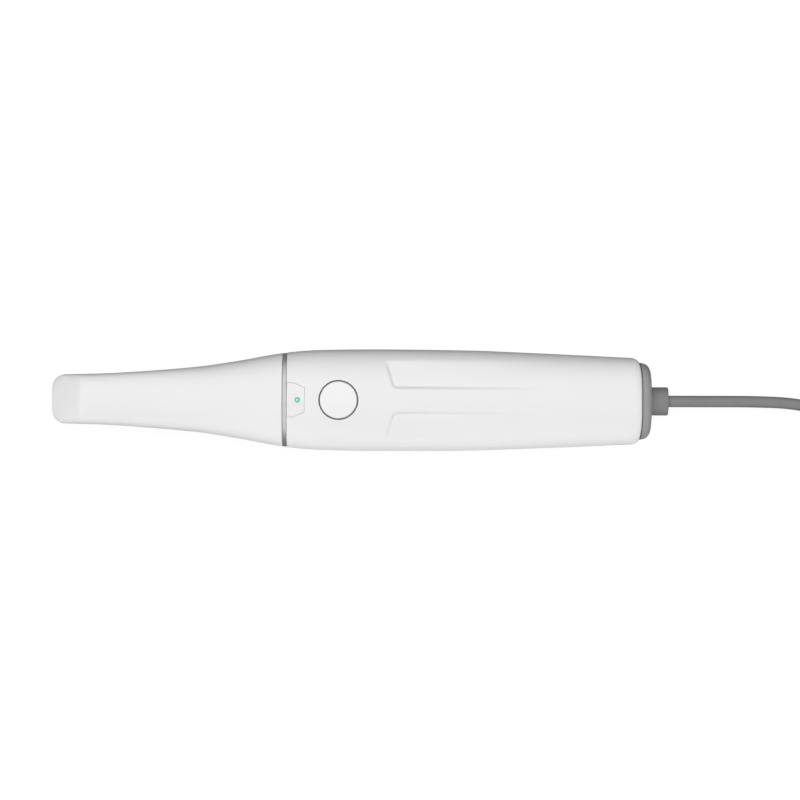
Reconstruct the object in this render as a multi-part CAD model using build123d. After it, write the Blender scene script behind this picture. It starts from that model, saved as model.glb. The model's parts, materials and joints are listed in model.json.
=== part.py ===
from build123d import *
import math
import os

# Intraoral camera: a handheld dental wand with a removable hollow tip, one button on its
# back and a fixed USB lead. Millimetres. X runs along the wand with the tip towards -X,
# +Z is up, and the belly rests on Z = 0 below the middle of the wand.

# ---- Stations along the wand --------------------------------------------------------
WAND_LENGTH = 246.8
TIP_END_X = -WAND_LENGTH / 2
RELIEF_END_X = WAND_LENGTH / 2
COLLAR_X = (-30.6, -28.8)
TIP_REAR_X = -30.7
BARREL_FRONT_X = -70.0
FLANGE_REAR_X = -26.6
SHELL_REAR_X = 112.4
CAP_FRONT_X = 109.6
CAP_REAR_X = 116.4

# ---- Outline of the wand: (x, size) knots joined by smooth monotone curves -----------
HALF_WIDTH_KNOTS = (
    (-118.0, 9.85), (-104.0, 10.2), (-84.0, 11.4), (-64.0, 13.2), (-48.0, 15.6),
    (-31.8, 18.5), (-27.0, 19.15), (-16.0, 19.95), (8.0, 20.3), (44.0, 20.0),
    (64.0, 19.3), (108.0, 17.4), (118.0, 17.0),
)
TOP_KNOTS = (
    (-108.0, 25.2), (-92.0, 25.6), (-70.0, 28.0), (-48.0, 32.2), (-30.0, 35.9),
    (-10.0, 37.6), (15.0, 38.0), (45.0, 37.6), (80.0, 35.8), (118.0, 32.8),
)
BOTTOM_KNOTS = (
    (-118.0, 8.8), (-95.0, 8.9), (-75.0, 7.4), (-55.0, 4.5), (-30.0, 1.1),
    (-10.0, -0.6), (15.0, -0.9), (80.0, -0.6), (100.0, 0.7), (118.0, 2.6),
)
SQUARENESS_KNOTS = ((-110.0, 3.2), (-60.0, 2.6), (0.0, 2.5))
HEAD_BEND_X = -111.2
HEAD_BEND_Z = 25.2
HEAD_BEND_SOFTNESS = 0.5
HEAD_CORNER_RADIUS = 5.5
HEAD_BELLY_RADIUS = 1.8
SHELL_REAR_ROUND = (2.9, 1.75)
CAP_ROUND = (3.4, 4.4)
CAP_INSET = 1.65
SECTION_POINTS = 28

# ---- Walls and clearances -----------------------------------------------------------
SEAM_Z = 17.2
HANDLE_WALL = 2.0
TIP_WALL = 1.6
BARREL_GAP = 0.35
BARREL_WALL = 1.8
LOOSE = 0.05
COLLAR_INSET = 0.12
BARREL_INSET = TIP_WALL + BARREL_GAP

# ---- Button and status light --------------------------------------------------------
BUTTON_X = -8.2
BUTTON_RADIUS = 7.4
BUTTON_FIT = 0.08
GASKET_RADIUS = 7.9
BUTTON_FLANGE_RADIUS = 8.8
BUTTON_FLANGE_Z = (32.6, 33.4)
GASKET_LIP_Z = (33.6, 34.1)
GASKET_LIP_RADIUS = 9.1
STEM_RADIUS = 1.6
PLUNGER_RADIUS = 1.75
PLUNGER_Z = (29.9, 31.9)
BUTTON_BOARD_Z = (26.0, 27.2)
LED_X = -24.5
LED_RADIUS = 1.0
STATUS_X = (-28.8, -26.2, -21.6)
STATUS_HALF_WIDTHS = (6.9, 4.9)
STATUS_PANE_DEPTH = 1.3

# ---- Grip scoops on both sides of the back ------------------------------------------
SCOOP_FRONT = ((9.9, 15.5), (13.4, 4.5))
SCOOP_REAR_X = 86.0
SCOOP_SPINE_Y = 4.5
SCOOP_DEPTH = 0.9
SCOOP_FADE_X = 77.0
SCOOP_TILT = 17.0

# ---- Optics -------------------------------------------------------------------------
OPTIC_Z = 17.5
OPTIC_Y = 5.2
OPTIC_TUBE_RADIUS = 4.6
OPTIC_TUBE_BORE = 3.9
OPTIC_TUBE_X = (-24.0, -3.2)
WINDOW_X = (-120.0, -104.0)
WINDOW_HALF_WIDTH = 6.6
MIRROR_MIDDLE = (-115.2, 16.7)
MIRROR_SIZE = (11.6, 10.6, 1.0)
MIRROR_RIM = 0.6

# ---- Screws and bosses --------------------------------------------------------------
SHELL_SCREW_PLACES = ((24.5, 9.0), (102.5, 9.0))
BOSS_RADIUS = 3.2
POCKET_RADIUS = 2.4
SHELL_SCREW_HEAD_Z = (4.0, 5.6)
SHELL_SCREW_TOP_Z = 21.0
BUTTON_POST_PLACES = ((-20.5, 9.5), (4.0, 9.5))
MAIN_POST_PLACES = ((33.0, 9.5), (93.0, 9.5))
POST_RADIUS = 2.0
SMALL_SHANK = 0.9
SMALL_HEAD = 1.7
SMALL_HEAD_HEIGHT = 1.3

# ---- Main board ---------------------------------------------------------------------
MAIN_BOARD_X = (28.5, 98.0)
MAIN_BOARD_HALF_WIDTH = 12.0
MAIN_BOARD_Z = (14.0, 15.2)

# ---- Lead ---------------------------------------------------------------------------
LEAD_RADIUS = 2.3
LEAD_Z = 17.6
RELIEF_RADIUS = 5.7
RELIEF_EDGE = 0.6
RELIEF_FLANGE_X = (110.6, 112.6)
RELIEF_FLANGE_RADIUS = 7.3
CLAMP_X = (105.6, 108.8)
HANK_ENDS_X = (224.0, 294.0)
HANK_Y = 6.0
HANK_LOW_Z = 3.2
HANK_TOP_Z = 17.06
HANK_RADII = (13.8, 18.5)
HANK_PINCH = 11.45
LEAD_ROUTE = (
    (RELIEF_END_X, 0.0, LEAD_Z), (138.0, 0.0, 16.8), (158.0, 0.1, 11.6), (176.0, -0.6, 6.4),
    (192.0, -4.6, 3.7), (205.0, -10.2, 3.2), (216.0, -12.5, HANK_LOW_Z),
)
PLUG_X = (355.0, 375.0)
PLUG_Y = -9.0
PLUG_Z = 4.1
END_ROUTE = (
    (304.0, -11.0, HANK_TOP_Z), (318.0, -10.9, 15.2), (333.0, -10.2, 8.8), (346.0, -9.3, 4.8),
    (PLUG_X[0], PLUG_Y, PLUG_Z),
)
ARC_SHARE = 0.45


# ---- Outline ------------------------------------------------------------------------
def knot_slopes(knots):
    """Slope at each knot of a smooth curve that never overshoots its knots."""
    steps = [(b[1] - a[1]) / (b[0] - a[0]) for a, b in zip(knots, knots[1:])]
    inner = [2 * a * b / (a + b) if a * b > 0 else 0.0 for a, b in zip(steps, steps[1:])]
    return [steps[0]] + inner + [steps[-1]]


def smooth_curve(knots, x):
    """Height of the smooth curve through the knots at x, level beyond both ends."""
    x = min(max(x, knots[0][0]), knots[-1][0])
    slopes = knot_slopes(knots)
    index = max(i for i in range(len(knots) - 1) if knots[i][0] <= x)
    (x0, y0), (x1, y1) = knots[index], knots[index + 1]
    span = x1 - x0
    t = (x - x0) / span
    start = y0 * (1 + 2 * t) * (1 - t) ** 2 + slopes[index] * span * t * (1 - t) ** 2
    return start + y1 * t * t * (3 - 2 * t) + slopes[index + 1] * span * t * t * (t - 1)


def round_off(distance, length, depth=None):
    """How far an elliptical corner lies inside its flat side, at a distance into it."""
    share = min(max(distance / length, 0.0), 1.0)
    return (depth or length) * (1 - math.sqrt(1 - share * share))


def half_width(x):
    corner = round_off(TIP_END_X + HEAD_CORNER_RADIUS - x, HEAD_CORNER_RADIUS)
    return smooth_curve(HALF_WIDTH_KNOTS, x) - corner


def bottom_z(x):
    corner = round_off(TIP_END_X + HEAD_BELLY_RADIUS - x, HEAD_BELLY_RADIUS)
    return smooth_curve(BOTTOM_KNOTS, x) + corner


def top_z(x, wall=0.0):
    """Top of the wand: the head's 45 degree slope joined softly to the long back."""
    back = smooth_curve(TOP_KNOTS, x) - wall
    slope = HEAD_BEND_Z + (x - HEAD_BEND_X) - wall * math.sqrt(2)
    return (back + slope - math.sqrt((back - slope) ** 2 + HEAD_BEND_SOFTNESS ** 2)) / 2


def rear_round(x):
    return round_off(x - (SHELL_REAR_X - SHELL_REAR_ROUND[0]), *SHELL_REAR_ROUND)


def cap_round(x):
    return round_off(x - (CAP_REAR_X - CAP_ROUND[0]), *CAP_ROUND)


def section(x, inset=0.0):
    """Closed outline of the wand at x, drawn in by the inset."""
    wide = half_width(x) - inset
    top = top_z(x, inset)
    bottom = bottom_z(x) + inset
    tall = (top - bottom) / 2
    power = smooth_curve(SQUARENESS_KNOTS, x)
    points = []
    for step in range(SECTION_POINTS):
        angle = 2 * math.pi * step / SECTION_POINTS
        across = abs(math.cos(angle) / wide) ** power
        up = abs(math.sin(angle) / tall) ** power
        reach = (across + up) ** (-1 / power)
        points.append((x, reach * math.cos(angle), bottom + tall + reach * math.sin(angle)))
    return Wire([Edge.make_spline([Vector(*p) for p in points], periodic=True)])


def hull(stations, inset=0.0, rounding=None):
    """Solid with the wand's outline over the stations, drawn in by the inset."""
    extra = rounding or (lambda x: 0.0)
    return Solid.make_loft([section(x, inset + extra(x)) for x in stations])


def spread(start, end, count):
    return [start + (end - start) * i / (count - 1) for i in range(count)]


def handle_outside():
    rear = SHELL_REAR_X - SHELL_REAR_ROUND[0]
    stations = [COLLAR_X[1], -25.0, -16.0, -4.0, 10.0, 28.0, 46.0, 64.0, 82.0, 98.0, 107.0]
    rounded = [rear + SHELL_REAR_ROUND[0] * share for share in (0.0, 0.4, 0.7, 0.9, 1.0)]
    return hull(stations + rounded, 0.0, rear_round)


def handle_core(inset, start=COLLAR_X[1] - 1.0, end=SHELL_REAR_X + 1.0):
    return hull(spread(start, end, 12), inset)


# ---- Plain solids -------------------------------------------------------------------
def block(x_range, y_range, z_range):
    sides = [high - low for low, high in (x_range, y_range, z_range)]
    middle = [(high + low) / 2 for low, high in (x_range, y_range, z_range)]
    return Pos(*middle) * Box(*sides)


def rod_x(x_range, y, z, radius):
    length = x_range[1] - x_range[0]
    return Pos(sum(x_range) / 2, y, z) * Rot(0, 90, 0) * Cylinder(radius, length)


def rod_z(x, y, z_range, radius):
    return Pos(x, y, sum(z_range) / 2) * Cylinder(radius, z_range[1] - z_range[0])


def prism(points, z_range):
    """Upright prism over a polygon in plan."""
    base = Pos(0, 0, z_range[0]) * make_face(Polyline(*points, close=True))
    return extrude(base, z_range[1] - z_range[0], dir=(0, 0, 1))


def both_sides(places):
    return [(x, side * y) for x, y in places for side in (-1, 1)]


def rods_z(places, z_range, radius):
    return [rod_z(x, y, z_range, radius) for x, y in both_sides(places)]


def fuse(shape, others):
    for other in others:
        shape = shape + other
    return shape


def cut(shape, others):
    for other in others:
        shape = shape - other
    return shape


def save(name, shape):
    """Write one node, as its solid or as a group of separate solids."""
    shapes = shape if isinstance(shape, (list, tuple)) else [shape]
    solids = [solid for item in shapes for solid in item.solids()]
    whole = solids[0] if len(solids) == 1 else Compound(solids)
    export_step(whole, f"parts/{name}.step")


# ---- Tip ----------------------------------------------------------------------------
def tip_shell():
    head = [TIP_END_X + step for step in (0.0, 0.35, 1.2, 2.6, 4.4, 6.6, 9.0)]
    bend = [-112.6, -111.2, -109.8, -107.5]
    body = [-102.0, -92.0, -80.0, -68.0, -56.0, -44.0, -36.0, TIP_REAR_X]
    outside = hull(head + bend + body)
    hollow_head = [TIP_END_X + TIP_WALL + step for step in (0.3, 1.2, 2.6, 4.6, 7.0, 9.0)]
    hollow_bend = [-110.8, -109.0, -106.0]
    hollow = hull(hollow_head + hollow_bend + body[:-1] + [TIP_REAR_X + 1.0], TIP_WALL)
    opening = block(WINDOW_X, (-WINDOW_HALF_WIDTH, WINDOW_HALF_WIDTH), (5.0, 13.0))
    return outside - hollow - opening


def tip_window():
    """Clear pane that closes the opening under the head."""
    x_range = (WINDOW_X[0] + LOOSE, WINDOW_X[1] - LOOSE)
    y_reach = WINDOW_HALF_WIDTH - LOOSE
    return block(x_range, (-y_reach, y_reach), (9.2, 10.2))


def on_mirror_slope(shape):
    return Pos(MIRROR_MIDDLE[0], 0, MIRROR_MIDDLE[1]) * Rot(0, -45, 0) * shape


def tip_mirror():
    return on_mirror_slope(Box(*MIRROR_SIZE))


def mirror_frame():
    length, width, thick = MIRROR_SIZE
    rim = Box(length + 2 * MIRROR_RIM, width + 2 * MIRROR_RIM, thick)
    return on_mirror_slope(rim - Box(length + LOOSE, width + LOOSE, thick * 2))


# ---- Nose ---------------------------------------------------------------------------
SEAL_X = (-38.0, -36.0)
SEAL_INSETS = (TIP_WALL + 0.04, BARREL_INSET + 0.95)


def nose_barrel():
    """Tapered hollow nose that the tip slides over, with a flange held by the shells."""
    nose = hull([BARREL_FRONT_X, -60.0, -50.0, -40.0, COLLAR_X[1]], BARREL_INSET)
    flange = hull([COLLAR_X[1], FLANGE_REAR_X], HANDLE_WALL + LOOSE)
    light_way = [BARREL_FRONT_X - 1.0, -60.0, -50.0, -40.0, FLANGE_REAR_X + 1.0]
    bore = hull(light_way, BARREL_INSET + BARREL_WALL)
    groove = hull(SEAL_X, 0.0) - hull(SEAL_X, SEAL_INSETS[1])
    return nose + flange - bore - groove


def tip_seal():
    """Rubber ring in the nose's groove, which grips the tip."""
    inside_x = (SEAL_X[0] + LOOSE, SEAL_X[1] - LOOSE)
    return hull(inside_x, SEAL_INSETS[0]) - hull(inside_x, SEAL_INSETS[1])


def nose_window():
    x_range = (BARREL_FRONT_X + 0.4, BARREL_FRONT_X + 1.6)
    outline = Face(section(x_range[0], BARREL_INSET + BARREL_WALL + LOOSE))
    return extrude(outline, x_range[1] - x_range[0], dir=(1, 0, 0))


def tip_collar():
    """Satin metal ring between the tip and the handle."""
    ring = hull(COLLAR_X, COLLAR_INSET)
    return ring - hull([COLLAR_X[0] - 1.0, COLLAR_X[1] + 1.0], BARREL_INSET - 0.03)


# ---- Handle shells ------------------------------------------------------------------
def scoop_cutter(side):
    """Space above a plane that leans outwards and comes up towards the rear."""
    (x_out, y_out), (x_in, y_in) = SCOOP_FRONT
    slant = (x_out - x_in) / (y_out - y_in)
    y_far = 26.0
    plan = [
        (x_in + slant * (y_far - y_in), side * y_far), (x_in, side * SCOOP_SPINE_Y),
        (SCOOP_REAR_X, side * SCOOP_SPINE_Y), (SCOOP_REAR_X, side * y_far),
    ]
    floor_z = top_z(x_in) - SCOOP_DEPTH
    rise = SCOOP_DEPTH + top_z(SCOOP_FADE_X) - top_z(x_in)
    pitch = math.degrees(math.atan2(rise, SCOOP_FADE_X - x_in))
    reach = 200.0
    above = Pos(0, 0, reach / 2) * Box(reach, reach, reach)
    leaning = Rot(-side * SCOOP_TILT, 0, 0) * above
    plane_at = Pos(x_in, side * SCOOP_SPINE_Y, floor_z) * Rot(0, -pitch, 0) * leaning
    return prism(plan, (SEAM_Z + 5.0, 60.0)) & plane_at


def status_prism(gap, z_range):
    """Upright prism of the status window's tapered outline."""
    front, corner, rear = STATUS_X
    wide, narrow = [half - gap for half in STATUS_HALF_WIDTHS]
    side = [(front - 1.0, wide), (corner, wide), (rear - gap, narrow)]
    points = side + [(x, -y) for x, y in reversed(side)]
    return prism(points, z_range)


def top_shell(outside, hollow, inner_skin):
    above_seam = block((-200, 200), (-40, 40), (SEAM_Z, 60.0))
    shell = outside & above_seam
    shell = cut(shell, [hollow] + [scoop_cutter(side) for side in (-1, 1)])
    posts = rods_z(BUTTON_POST_PLACES, (BUTTON_BOARD_Z[1], 40.0), POST_RADIUS)
    posts += rods_z(SHELL_SCREW_PLACES, (SEAM_Z, 40.0), BOSS_RADIUS)
    shell = fuse(shell, [post & inner_skin for post in posts])
    holes = rods_z(BUTTON_POST_PLACES, (20.0, 31.5), SMALL_SHANK)
    holes += rods_z(SHELL_SCREW_PLACES, (SEAM_Z - 1.0, SHELL_SCREW_TOP_Z + 0.5), 1.0)
    button_hole = rod_z(BUTTON_X, 0, (30.0, 45.0), GASKET_RADIUS)
    return cut(shell, holes + [button_hole, status_prism(0.0, (30.0, 45.0))])


def bottom_shell(outside, hollow, inner_skin):
    below_seam = block((-200, 200), (-40, 40), (0.0, SEAM_Z))
    shell = (outside & below_seam) - hollow
    posts = rods_z(SHELL_SCREW_PLACES, (-5.0, SEAM_Z), BOSS_RADIUS)
    posts += rods_z(MAIN_POST_PLACES, (-5.0, MAIN_BOARD_Z[0]), POST_RADIUS)
    posts.append(block(CLAMP_X, (-8.0, 8.0), (-5.0, LEAD_Z - LEAD_RADIUS)))
    posts.append(block((0.0, 4.0), (-12.0, 12.0), (-5.0, 7.5)))
    posts.append(block((-20.0, -16.0), (-12.0, 12.0), (-5.0, 7.5)))
    shell = fuse(shell, [post & inner_skin for post in posts])
    holes = rods_z(SHELL_SCREW_PLACES, (-5.0, SHELL_SCREW_HEAD_Z[1]), POCKET_RADIUS)
    holes += rods_z(SHELL_SCREW_PLACES, (0.0, 30.0), 1.1)
    holes += rods_z(MAIN_POST_PLACES, (6.0, 20.0), SMALL_SHANK)
    holes += [rod_z(x, y, (9.0, 20.0), SMALL_SHANK) for x, y in CLAMP_SCREW_PLACES]
    return cut(shell, holes)


def screw(x, y, head_z, tip_z, head_radius, shank_radius):
    """Pan head screw along Z: the head spans head_z and the shank ends at tip_z."""
    join = head_z[1] if tip_z > head_z[1] else head_z[0]
    head = rod_z(x, y, head_z, head_radius)
    recess_end = head_z[0] if tip_z > head_z[1] else head_z[1]
    recess = Pos(x, y, recess_end) * extrude(RegularPolygon(0.45 * head_radius, 6), 0.6, both=True)
    return head + rod_z(x, y, (min(join, tip_z), max(join, tip_z)), shank_radius) - recess


def shell_screws():
    return [
        screw(x, y, SHELL_SCREW_HEAD_Z, SHELL_SCREW_TOP_Z, 2.2, 1.0)
        for x, y in both_sides(SHELL_SCREW_PLACES)
    ]


def screw_plugs(belly_skin):
    plugs = rods_z(SHELL_SCREW_PLACES, (0.2, SHELL_SCREW_HEAD_Z[0] - 0.1), POCKET_RADIUS)
    return [plug & belly_skin for plug in plugs]


# ---- Button and status light --------------------------------------------------------
def button_cap(outside):
    """Round cap cut from the back's own curve, with a flange and a stem below."""
    cap = rod_z(BUTTON_X, 0, (BUTTON_FLANGE_Z[0], 45.0), BUTTON_RADIUS) & outside
    flange = rod_z(BUTTON_X, 0, BUTTON_FLANGE_Z, BUTTON_FLANGE_RADIUS)
    stem = rod_z(BUTTON_X, 0, (PLUNGER_Z[1], BUTTON_FLANGE_Z[0]), STEM_RADIUS)
    return cap + flange + stem


def button_gasket(outside):
    """Thin grey ring that lines the button's hole, with a lip behind the shell."""
    sleeve = rod_z(BUTTON_X, 0, (GASKET_LIP_Z[0], 45.0), GASKET_RADIUS) & outside
    lip = rod_z(BUTTON_X, 0, GASKET_LIP_Z, GASKET_LIP_RADIUS)
    way = rod_z(BUTTON_X, 0, (30.0, 45.0), BUTTON_RADIUS + BUTTON_FIT)
    return sleeve + lip - way


def switch_plunger():
    return rod_z(BUTTON_X, 0, PLUNGER_Z, PLUNGER_RADIUS)


def tact_switch():
    half = 3.0
    top = PLUNGER_Z[1] - 1.2
    body = block((BUTTON_X - half, BUTTON_X + half), (-half, half), (BUTTON_BOARD_Z[1], top))
    return body - rod_z(BUTTON_X, 0, (PLUNGER_Z[0] - 1.0, top + 1.0), PLUNGER_RADIUS + BUTTON_FIT)


def button_board():
    board = block((-26.2, 8.0), (-11.5, 11.5), BUTTON_BOARD_Z)
    return cut(board, rods_z(BUTTON_POST_PLACES, (20.0, 30.0), SMALL_SHANK + 0.1))


def button_board_screws():
    head_z = (BUTTON_BOARD_Z[0] - SMALL_HEAD_HEIGHT, BUTTON_BOARD_Z[0])
    places = both_sides(BUTTON_POST_PLACES)
    return [screw(x, y, head_z, 31.0, SMALL_HEAD, SMALL_SHANK) for x, y in places]


def status_window(outside):
    """Tapered pane beside the collar, with a hole for the light pipe."""
    keep = block((COLLAR_X[1], STATUS_X[2]), (-10, 10), (30.0, 60.0))
    pane = status_prism(LOOSE, (30.0, 45.0)) & keep & outside
    below = handle_core(STATUS_PANE_DEPTH, COLLAR_X[1] - 2.0, STATUS_X[2] + 4.0)
    return pane - below - rod_z(LED_X, 0, (25.0, 45.0), LED_RADIUS + LOOSE)


def light_pipe(outside):
    return rod_z(LED_X, 0, (BUTTON_BOARD_Z[1] + 0.9, 45.0), LED_RADIUS) & outside


def status_led():
    return block((LED_X - 0.8, LED_X + 0.8), (-0.8, 0.8), (BUTTON_BOARD_Z[1], BUTTON_BOARD_Z[1] + 0.8))


# ---- Optics in the handle -----------------------------------------------------------
BENCH_WALLS_X = ((-22.0, -20.0), (-9.0, -7.0))


def optical_bench():
    """Aluminium tray with two upright walls that carry both optic tubes."""
    base = block((FLANGE_REAR_X, 19.0), (-12.0, 12.0), (7.5, 9.5))
    walls = [block(x_range, (-12.0, 12.0), (9.0, 24.0)) for x_range in BENCH_WALLS_X]
    ways = [rod_x((-30, 0), side * OPTIC_Y, OPTIC_Z, OPTIC_TUBE_RADIUS + LOOSE) for side in (-1, 1)]
    return cut(fuse(base, walls), ways)


def optic_tube(side):
    tube = rod_x(OPTIC_TUBE_X, side * OPTIC_Y, OPTIC_Z, OPTIC_TUBE_RADIUS)
    return tube - rod_x((-30, 0), side * OPTIC_Y, OPTIC_Z, OPTIC_TUBE_BORE)


def lens(side, middle_x, thickness, crown):
    """Lens with two rounded faces, seated in its tube."""
    radius = OPTIC_TUBE_BORE - LOOSE
    half = thickness / 2
    profile = make_face(
        [
            Line((0, -half), (radius, -half + crown)),
            Line((radius, -half + crown), (radius, half - crown)),
            Line((radius, half - crown), (0, half)),
            Line((0, half), (0, -half)),
        ]
    )
    turned = revolve(Plane.XZ * profile, Axis.Z)
    return Pos(middle_x, side * OPTIC_Y, OPTIC_Z) * Rot(0, 90, 0) * turned


def optic_board(side):
    y_range = sorted((side * 0.3, side * 10.4))
    return block((-1.8, -0.6), y_range, (10.5, 24.5))


def optic_chip(side, half, x_range):
    middle = side * OPTIC_Y
    return block(x_range, (middle - half, middle + half), (OPTIC_Z - half, OPTIC_Z + half))


# ---- Main board ---------------------------------------------------------------------
CHIP_PLACES = ((46.0, 0.0, 6.0, 1.6), (62.0, -4.0, 4.0, 1.2), (62.0, 5.5, 3.5, 1.2), (76.0, 0.0, 4.5, 2.4))


def main_board():
    half = MAIN_BOARD_HALF_WIDTH
    board = block(MAIN_BOARD_X, (-half, half), MAIN_BOARD_Z)
    return cut(board, rods_z(MAIN_POST_PLACES, (10.0, 20.0), SMALL_SHANK + 0.1))


def board_chips():
    low = MAIN_BOARD_Z[1]
    return [
        block((x - half, x + half), (y - half, y + half), (low, low + tall))
        for x, y, half, tall in CHIP_PLACES
    ]


def board_screws():
    head_z = (MAIN_BOARD_Z[1], MAIN_BOARD_Z[1] + SMALL_HEAD_HEIGHT)
    places = both_sides(MAIN_POST_PLACES)
    return [screw(x, y, head_z, 8.0, SMALL_HEAD, SMALL_SHANK) for x, y in places]


def thermal_pad():
    return block((42.0, 78.0), (-6.0, 6.0), (13.4, MAIN_BOARD_Z[0]))


def heat_spreader():
    plate = block((38.0, 88.0), (-7.0, 7.0), (11.4, 13.4))
    fins = [block((x, x + 1.2), (-7.0, 7.0), (7.4, 11.4)) for x in range(40, 87, 4)]
    return fuse(plate, fins)


def ribbon_cable():
    """Flat flexible strip from the optic boards to the main board."""
    rise = block((1.5, 27.0), (-4.0, 4.0), (20.0, 20.2))
    front = block((1.5, 1.7), (-4.0, 4.0), (16.0, 20.0))
    rear = block((26.8, 27.0), (-4.0, 4.0), (16.6, 20.0))
    end = block((26.8, 30.5), (-4.0, 4.0), (16.4, 16.6))
    return fuse(rise, [front, rear, end])


def ribbon_socket():
    return block((30.5, 35.0), (-5.0, 5.0), (MAIN_BOARD_Z[1], 17.4))


# ---- Rear end and lead --------------------------------------------------------------
CLAMP_SCREW_PLACES = tuple((sum(CLAMP_X) / 2, side * 5.4) for side in (-1, 1))
HEADER_X = (88.0, 94.0)
WIRES_END_X = 102.0
WIRE_OFFSETS = (-1.5, -0.5, 0.5, 1.5)
CAP_LIP_GAP = 0.3


def rear_cap():
    """Grey end cap: a plug inside the shells and a rounded face behind them."""
    lip = hull([CAP_FRONT_X, SHELL_REAR_X], HANDLE_WALL + CAP_LIP_GAP)
    rounded = [CAP_REAR_X - CAP_ROUND[0] * (1 - share) for share in (0.15, 0.45, 0.7, 0.88, 0.97, 1.0)]
    face = hull([SHELL_REAR_X] + rounded, CAP_INSET, cap_round)
    seat = rod_x((CAP_FRONT_X - 1.0, RELIEF_FLANGE_X[1] + LOOSE), 0, LEAD_Z, RELIEF_FLANGE_RADIUS + LOOSE)
    way = rod_x((100.0, 120.0), 0, LEAD_Z, RELIEF_RADIUS + LOOSE)
    return lip + face - seat - way


def strain_relief():
    sleeve = rod_x((RELIEF_FLANGE_X[1], RELIEF_END_X), 0, LEAD_Z, RELIEF_RADIUS)
    sleeve = fillet(sleeve.edges().filter_by(GeomType.CIRCLE).sort_by(Axis.X)[-1], RELIEF_EDGE)
    flange = rod_x(RELIEF_FLANGE_X, 0, LEAD_Z, RELIEF_FLANGE_RADIUS)
    return sleeve + flange - rod_x((100.0, 130.0), 0, LEAD_Z, LEAD_RADIUS)


def lead_tail():
    """Lead inside the handle, from the relief to its stripped end."""
    return rod_x((WIRES_END_X, RELIEF_END_X), 0, LEAD_Z, LEAD_RADIUS)


def lead_wires():
    return [rod_x((HEADER_X[1], WIRES_END_X), y, LEAD_Z, 0.4) for y in WIRE_OFFSETS]


def lead_header():
    return block(HEADER_X, (-5.0, 5.0), (MAIN_BOARD_Z[1], 20.0))


def lead_clamp():
    bridge = block(CLAMP_X, (-7.6, 7.6), (LEAD_Z - LEAD_RADIUS, 21.4))
    bridge = bridge - rod_x((100.0, 112.0), 0, LEAD_Z, LEAD_RADIUS)
    bridge = bridge - block((100.0, 112.0), (-LEAD_RADIUS, LEAD_RADIUS), (10.0, LEAD_Z))
    return cut(bridge, [rod_z(x, y, (10.0, 25.0), SMALL_SHANK + 0.1) for x, y in CLAMP_SCREW_PLACES])


def clamp_screws():
    head_z = (21.4, 21.4 + SMALL_HEAD_HEIGHT)
    return [screw(x, y, head_z, 10.0, 1.55, SMALL_SHANK) for x, y in CLAMP_SCREW_PLACES]


def arc_radii(route):
    """Radius of the arc at each inner point of a route, as large as its runs allow."""
    points = [Vector(*p) for p in route]
    radii = []
    for before, here, after in zip(points, points[1:], points[2:]):
        shorter = min((here - before).length, (after - here).length)
        turn = math.radians((here - before).get_angle(after - here))
        radii.append(ARC_SHARE * shorter / math.tan(turn / 2))
    return radii


def lead_tube(route):
    radii = arc_radii(route)
    path = FilletPolyline(*route, radius=radii)
    first = Vector(*route[1]) - Vector(*route[0])
    tube = sweep(Plane(origin=route[0], z_dir=first) * Circle(LEAD_RADIUS), path=path.wire())
    share = tube.volume / (math.pi * LEAD_RADIUS ** 2 * path.length)
    print("lead radii", [round(r) for r in radii], "length", round(path.length, 1), "volume", round(share, 4))
    return tube


def lead_hank():
    """Outer shape of the folded lead: two round ends and a waist where the strap ties it."""
    start, end = HANK_ENDS_X
    reach = HANK_RADII[1] + LEAD_RADIUS
    waist = reach - HANK_PINCH
    middle = (start + end) / 2
    low_side = Spline((start, -reach), (middle, -waist), (end, -reach), tangents=[(1, 0), (1, 0)])
    high_side = Spline((end, reach), (middle, waist), (start, reach), tangents=[(-1, 0), (-1, 0)])
    far_round = ThreePointArc((end, -reach), (end + reach, 0), (end, reach))
    near_round = ThreePointArc((start, reach), (start - reach, 0), (start, -reach))
    outline = make_face([low_side, far_round, high_side, near_round])
    low = HANK_LOW_Z - LEAD_RADIUS
    return Pos(0, HANK_Y, low) * extrude(outline, HANK_TOP_Z + LEAD_RADIUS - low, dir=(0, 0, 1))


def lead_strap():
    """Hook-and-loop strap around the waist of the folded lead."""
    middle = sum(HANK_ENDS_X) / 2
    gap = 0.85
    thick = 0.75
    half = 4.0
    reach = HANK_RADII[1] + LEAD_RADIUS - HANK_PINCH + gap
    low = HANK_LOW_Z - LEAD_RADIUS - LOOSE
    high = HANK_TOP_Z + LEAD_RADIUS + LOOSE
    x_range = (middle - half, middle + half)
    hole = block((middle - 9, middle + 9), (HANK_Y - reach, HANK_Y + reach), (low, high))
    reach += thick
    return block(x_range, (HANK_Y - reach, HANK_Y + reach), (low - thick, high + thick)) - hole


def plug_body():
    grip = block(PLUG_X, (PLUG_Y - 7.8, PLUG_Y + 7.8), (0.1, 2 * PLUG_Z - 0.1))
    return fillet(grip.edges().filter_by(Axis.X), 2.0)


PLUG_SHELL_SIZE = (18.8, 12.0, 4.5)
PLUG_SHELL_WALL = 0.3


def plug_shell():
    length, width, tall = PLUG_SHELL_SIZE
    inside = Box(length * 2, width - 2 * PLUG_SHELL_WALL, tall - 2 * PLUG_SHELL_WALL)
    return Pos(PLUG_X[1] + length / 2, PLUG_Y, PLUG_Z) * (Box(length, width, tall) - inside)


def plug_tongue():
    length, width, tall = PLUG_SHELL_SIZE
    gap = PLUG_SHELL_WALL + LOOSE
    low = PLUG_Z
    high = PLUG_Z + tall / 2 - gap
    reach = width / 2 - gap
    return block((PLUG_X[1], PLUG_X[1] + length - 0.6), (PLUG_Y - reach, PLUG_Y + reach), (low, high))


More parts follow.
